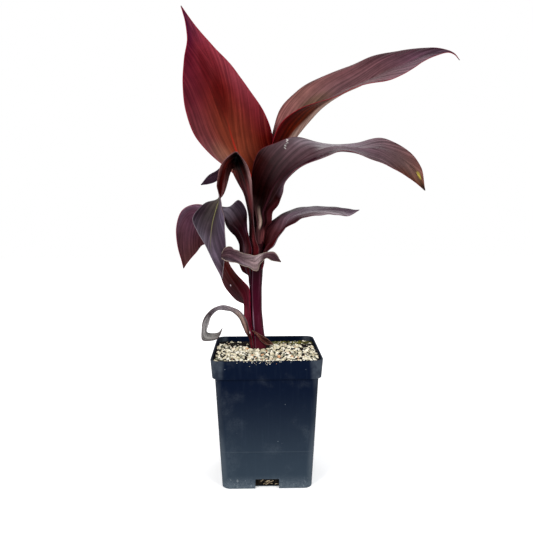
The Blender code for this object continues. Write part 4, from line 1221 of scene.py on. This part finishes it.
# Small leaf to the right
smallLeaf = dict(
    sheath=[(216, 345, 30), (230, 345, 32)], crown=0.08, wave=0.3, rib=1.8,
    rows=[
        ((0.5, 0, 243), (8, 6, 244), (-3, 13, 249)),
        ((8, -4, 252.5), (13, 3, 253.5), (-0.5, 13, 262)),
        ((16, -9, 260.5), (19.5, 0, 262.5), (6.5, 13, 270.5)),
        ((28, -14, 268), (26, -1, 274), (17, 16, 277.5)),
        ((39, -18, 274), (40.5, -3, 279.5), (35.5, 16, 285)),
        ((55.5, -20, 277), (58, -5, 281.5), (56, 14, 286)),
        ((72.5, -20, 277), (76.5, -8, 281), (78, 8, 285)),
        ((85.5, -16, 276), (88.5, -10, 280), (90, -2, 282.5))],
    tip=(97, -12, 282),
    upper=dict(
        middle=[(0.05, 76, 14, 24), (0.2, 72, 32, 32), (0.33, 86, 44, 48), (0.44, 100, 74, 84),
                (0.54, 122, 104, 116), (0.65, 136, 124, 134), (0.8, 92, 72, 84), (1.0, 84, 62, 80)],
        left=[(0.05, 74, 14, 22), (0.42, 56, 14, 14), (0.54, 76, 46, 52), (0.66, 116, 94, 100),
              (0.75, 166, 150, 157), (0.86, 160, 148, 154), (1.0, 100, 82, 98)],
        right=[(0.05, 70, 14, 22), (0.25, 50, 17, 16), (0.44, 64, 33, 40), (0.55, 88, 68, 78),
               (0.68, 112, 98, 112), (0.82, 58, 34, 46), (1.0, 72, 46, 64)],
        contrast=0.3, tan=0.05, streakLight=(166, 156, 164), ribShade=(156, 144, 152), ribWidth=1.1,
        ribShare=0.5, ribRun=(0.7, 1.0), marginShade=(96, 40, 54), marginWidth=0.7, marginShare=0.6,
        gloss=0.015, roughness=0.4),
    under=dict(
        middle=[(0.05, 76, 12, 24), (0.22, 66, 14, 17), (0.4, 58, 14, 16), (0.6, 96, 66, 76),
                (0.8, 120, 100, 112), (1.0, 86, 70, 82)],
        tan=0.05, streakLight=(156, 140, 150), ribShade=(150, 134, 144), ribWidth=1.1, ribShare=0.5,
        ribRun=(0.7, 1.0), marginShade=(84, 34, 46), marginWidth=0.7, roughness=0.4))
makeLeaf("smallLeaf", "leaf_small_right", smallLeaf)


# Withered leaf lying across the stem
witheredLeaf = dict(
    sheath=[], crown=0.12, wave=0.7, rib=1.2, count=90,
    rows=[
        ((-45, -23.75, 239), (-45.5, -24.75, 236), (-45, -25.75, 233.5)),
        ((-42.5, -20.75, 243.5), (-43, -24.75, 237), (-42.5, -26.75, 231.5)),
        ((-36.5, -16.75, 245), (-36.5, -21.75, 237), (-36.5, -24.75, 229.5)),
        ((-32, -11.75, 241.5), (-30.5, -16.75, 234.5), (-29.5, -19.75, 227.5)),
        ((-24, -4.75, 237.5), (-20.5, -9.75, 230), (-19.5, -12.75, 223)),
        ((-12.5, 0.25, 234.5), (-11.5, -2.75, 227.5), (-9, -6.75, 218.5)),
        ((-4, 2.25, 236.5), (-5, 2.25, 231.5), (-6, -1.75, 225)),
        ((1.5, 1.25, 238), (0.5, 1.25, 234.5), (0.5, -0.75, 231)),
        ((10, 1.25, 237.5), (9, 0.25, 233.5), (6.5, 0.25, 228.5))],
    tip=(16.5, 1.25, 227),
    upper=dict(
        middle=[(0.0, 92, 70, 74), (0.6, 112, 92, 96), (1.0, 110, 90, 94)],
        contrast=0.7, tan=0.3, streakLight=(150, 130, 132), marginShade=(170, 150, 146), marginWidth=1.0,
        roughness=0.75, relief=0.0006, crinkle=0.9),
    under=dict(
        middle=[(0.0, 76, 54, 58), (0.15, 84, 60, 68), (0.27, 104, 78, 86), (0.42, 138, 114, 118),
                (0.55, 150, 126, 128), (0.64, 166, 144, 146), (0.72, 88, 66, 70), (0.85, 78, 54, 60),
                (1.0, 66, 46, 52)],
        left=[(0.0, 60, 40, 44), (0.15, 96, 68, 76), (0.35, 130, 104, 108), (0.5, 168, 142, 146),
              (0.65, 200, 178, 180), (0.75, 110, 84, 90), (1.0, 80, 56, 60)],
        right=[(0.0, 80, 64, 66), (0.12, 110, 92, 102), (0.22, 98, 76, 86), (0.35, 136, 118, 128),
               (0.5, 136, 116, 116), (0.64, 110, 90, 88), (0.74, 58, 36, 40), (1.0, 70, 50, 56)],
        contrast=0.36, tan=0.2, streakLight=(190, 170, 168), marginShade=(178, 160, 146), marginWidth=0.9,
        roughness=0.75, relief=0.0006, crinkle=1.0))
makeLeaf("witheredLeaf", "withered_leaf", witheredLeaf)


# Withered curl over the pot's left edge
witheredCurl = dict(
    sheath=[(128.2, 216, 18), (138, 214, 18)], crown=0.1, wave=0.6, rib=1, layer=1.3,
    rows=[
        ((-22, 0, 151), (-20, -3.5, 151.5), (-17, -5, 152)),
        ((-27, 4, 163.5), (-25, -2, 165.5), (-21, -6, 167)),
        ((-34.5, 8, 171), (-32, 1, 174), (-29.5, -4, 177.5)),
        ((-42, 6, 175), (-41.5, -1, 179), (-41, -6, 181.5)),
        ((-50, 4, 175.5), (-49.5, -3, 178.5), (-49.5, -8, 182)),
        ((-56.5, 2, 171.5), (-58, -5, 175.5), (-58.5, -10, 178)),
        ((-60.5, 0, 165.5), (-62.5, -7, 168), (-64.5, -12, 170.5)),
        ((-63, -1, 156), (-65.5, -9, 158.5), (-67.5, -15, 158.5)),
        ((-62, -2, 152), (-64, -10, 150.5), (-67, -16, 147)),
        ((-56.5, -2, 151), (-57, -9, 149), (-57.5, -15, 146)),
        ((-50.5, -2, 152), (-49, -7, 151.5), (-50, -11, 149))],
    tip=(-46, -5, 158),
    upper=dict(
        middle=[(0.05, 104, 30, 40), (0.2, 100, 50, 44), (0.35, 70, 46, 48), (0.6, 66, 48, 54),
                (0.76, 142, 136, 130), (1.0, 84, 66, 68)],
        contrast=0.6, tan=0.3, streakLight=(160, 144, 136), marginShade=(112, 88, 88), roughness=0.7,
        relief=0.0005, crinkle=0.8),
    under=dict(
        middle=[(0.05, 112, 30, 44), (0.17, 100, 44, 44), (0.24, 138, 104, 96), (0.36, 148, 126, 116),
                (0.45, 166, 152, 158), (0.55, 164, 152, 162), (0.64, 84, 72, 78), (0.73, 196, 190, 190),
                (0.84, 150, 148, 144), (1.0, 104, 92, 92)],
        right=[(0.05, 100, 26, 40), (0.17, 56, 26, 28), (0.26, 60, 34, 34), (0.4, 156, 140, 146),
               (0.56, 156, 144, 154), (0.66, 78, 68, 72), (0.78, 158, 154, 152), (1.0, 96, 84, 84)],
        contrast=0.5, tan=0.25, streakLight=(180, 168, 160), marginShade=(104, 84, 84), marginWidth=0.7,
        roughness=0.7, relief=0.0005, crinkle=0.7))
makeLeaf("witheredCurl", "withered_curl", witheredCurl)


# Dry brown sheath that peels from the stem's foot
drySheath = dict(
    sheath=[], crown=0, wave=0, rib=0.8, count=60,
    rows=[
        ((-15, 5.2, 153.4), (-15, 5.2, 152.8), (-15, 5.2, 152.2)),
        ((-9.4, 4.0, 150.5), (-9.3, 3.9, 149), (-9.2, 3.8, 147)),
        ((-5.9, 4.2, 148), (-5.7, 4.0, 145), (-5.7, 3.9, 141.5)),
        ((-2.2, 5.7, 145.6), (-1.8, 5.3, 141.8), (-1.4, 5.1, 137.6)),
        ((1.5, 7.3, 143), (2, 6.7, 139.5), (2, 5.9, 136.2)),
        ((5, 7.3, 139.5), (5, 6.5, 138), (5, 5.7, 136.4))],
    tip=(8, 5.9, 136.4),
    upper=dict(
        middle=[(0.0, 70, 34, 34), (1.0, 84, 58, 48)],
        contrast=0.8, tan=0.4, streakLight=(140, 104, 86), marginShade=(130, 100, 86), marginWidth=0.6,
        roughness=0.8, relief=0.0006, crinkle=0.8),
    under=dict(
        middle=[(0.0, 120, 74, 66), (0.5, 84, 46, 42), (1.0, 66, 40, 34)],
        contrast=0.8, tan=0.3, streakLight=(176, 136, 116), marginShade=(156, 120, 108), roughness=0.8,
        relief=0.0006, crinkle=0.8))
makeLeaf("drySheath", "dry_sheath", drySheath)
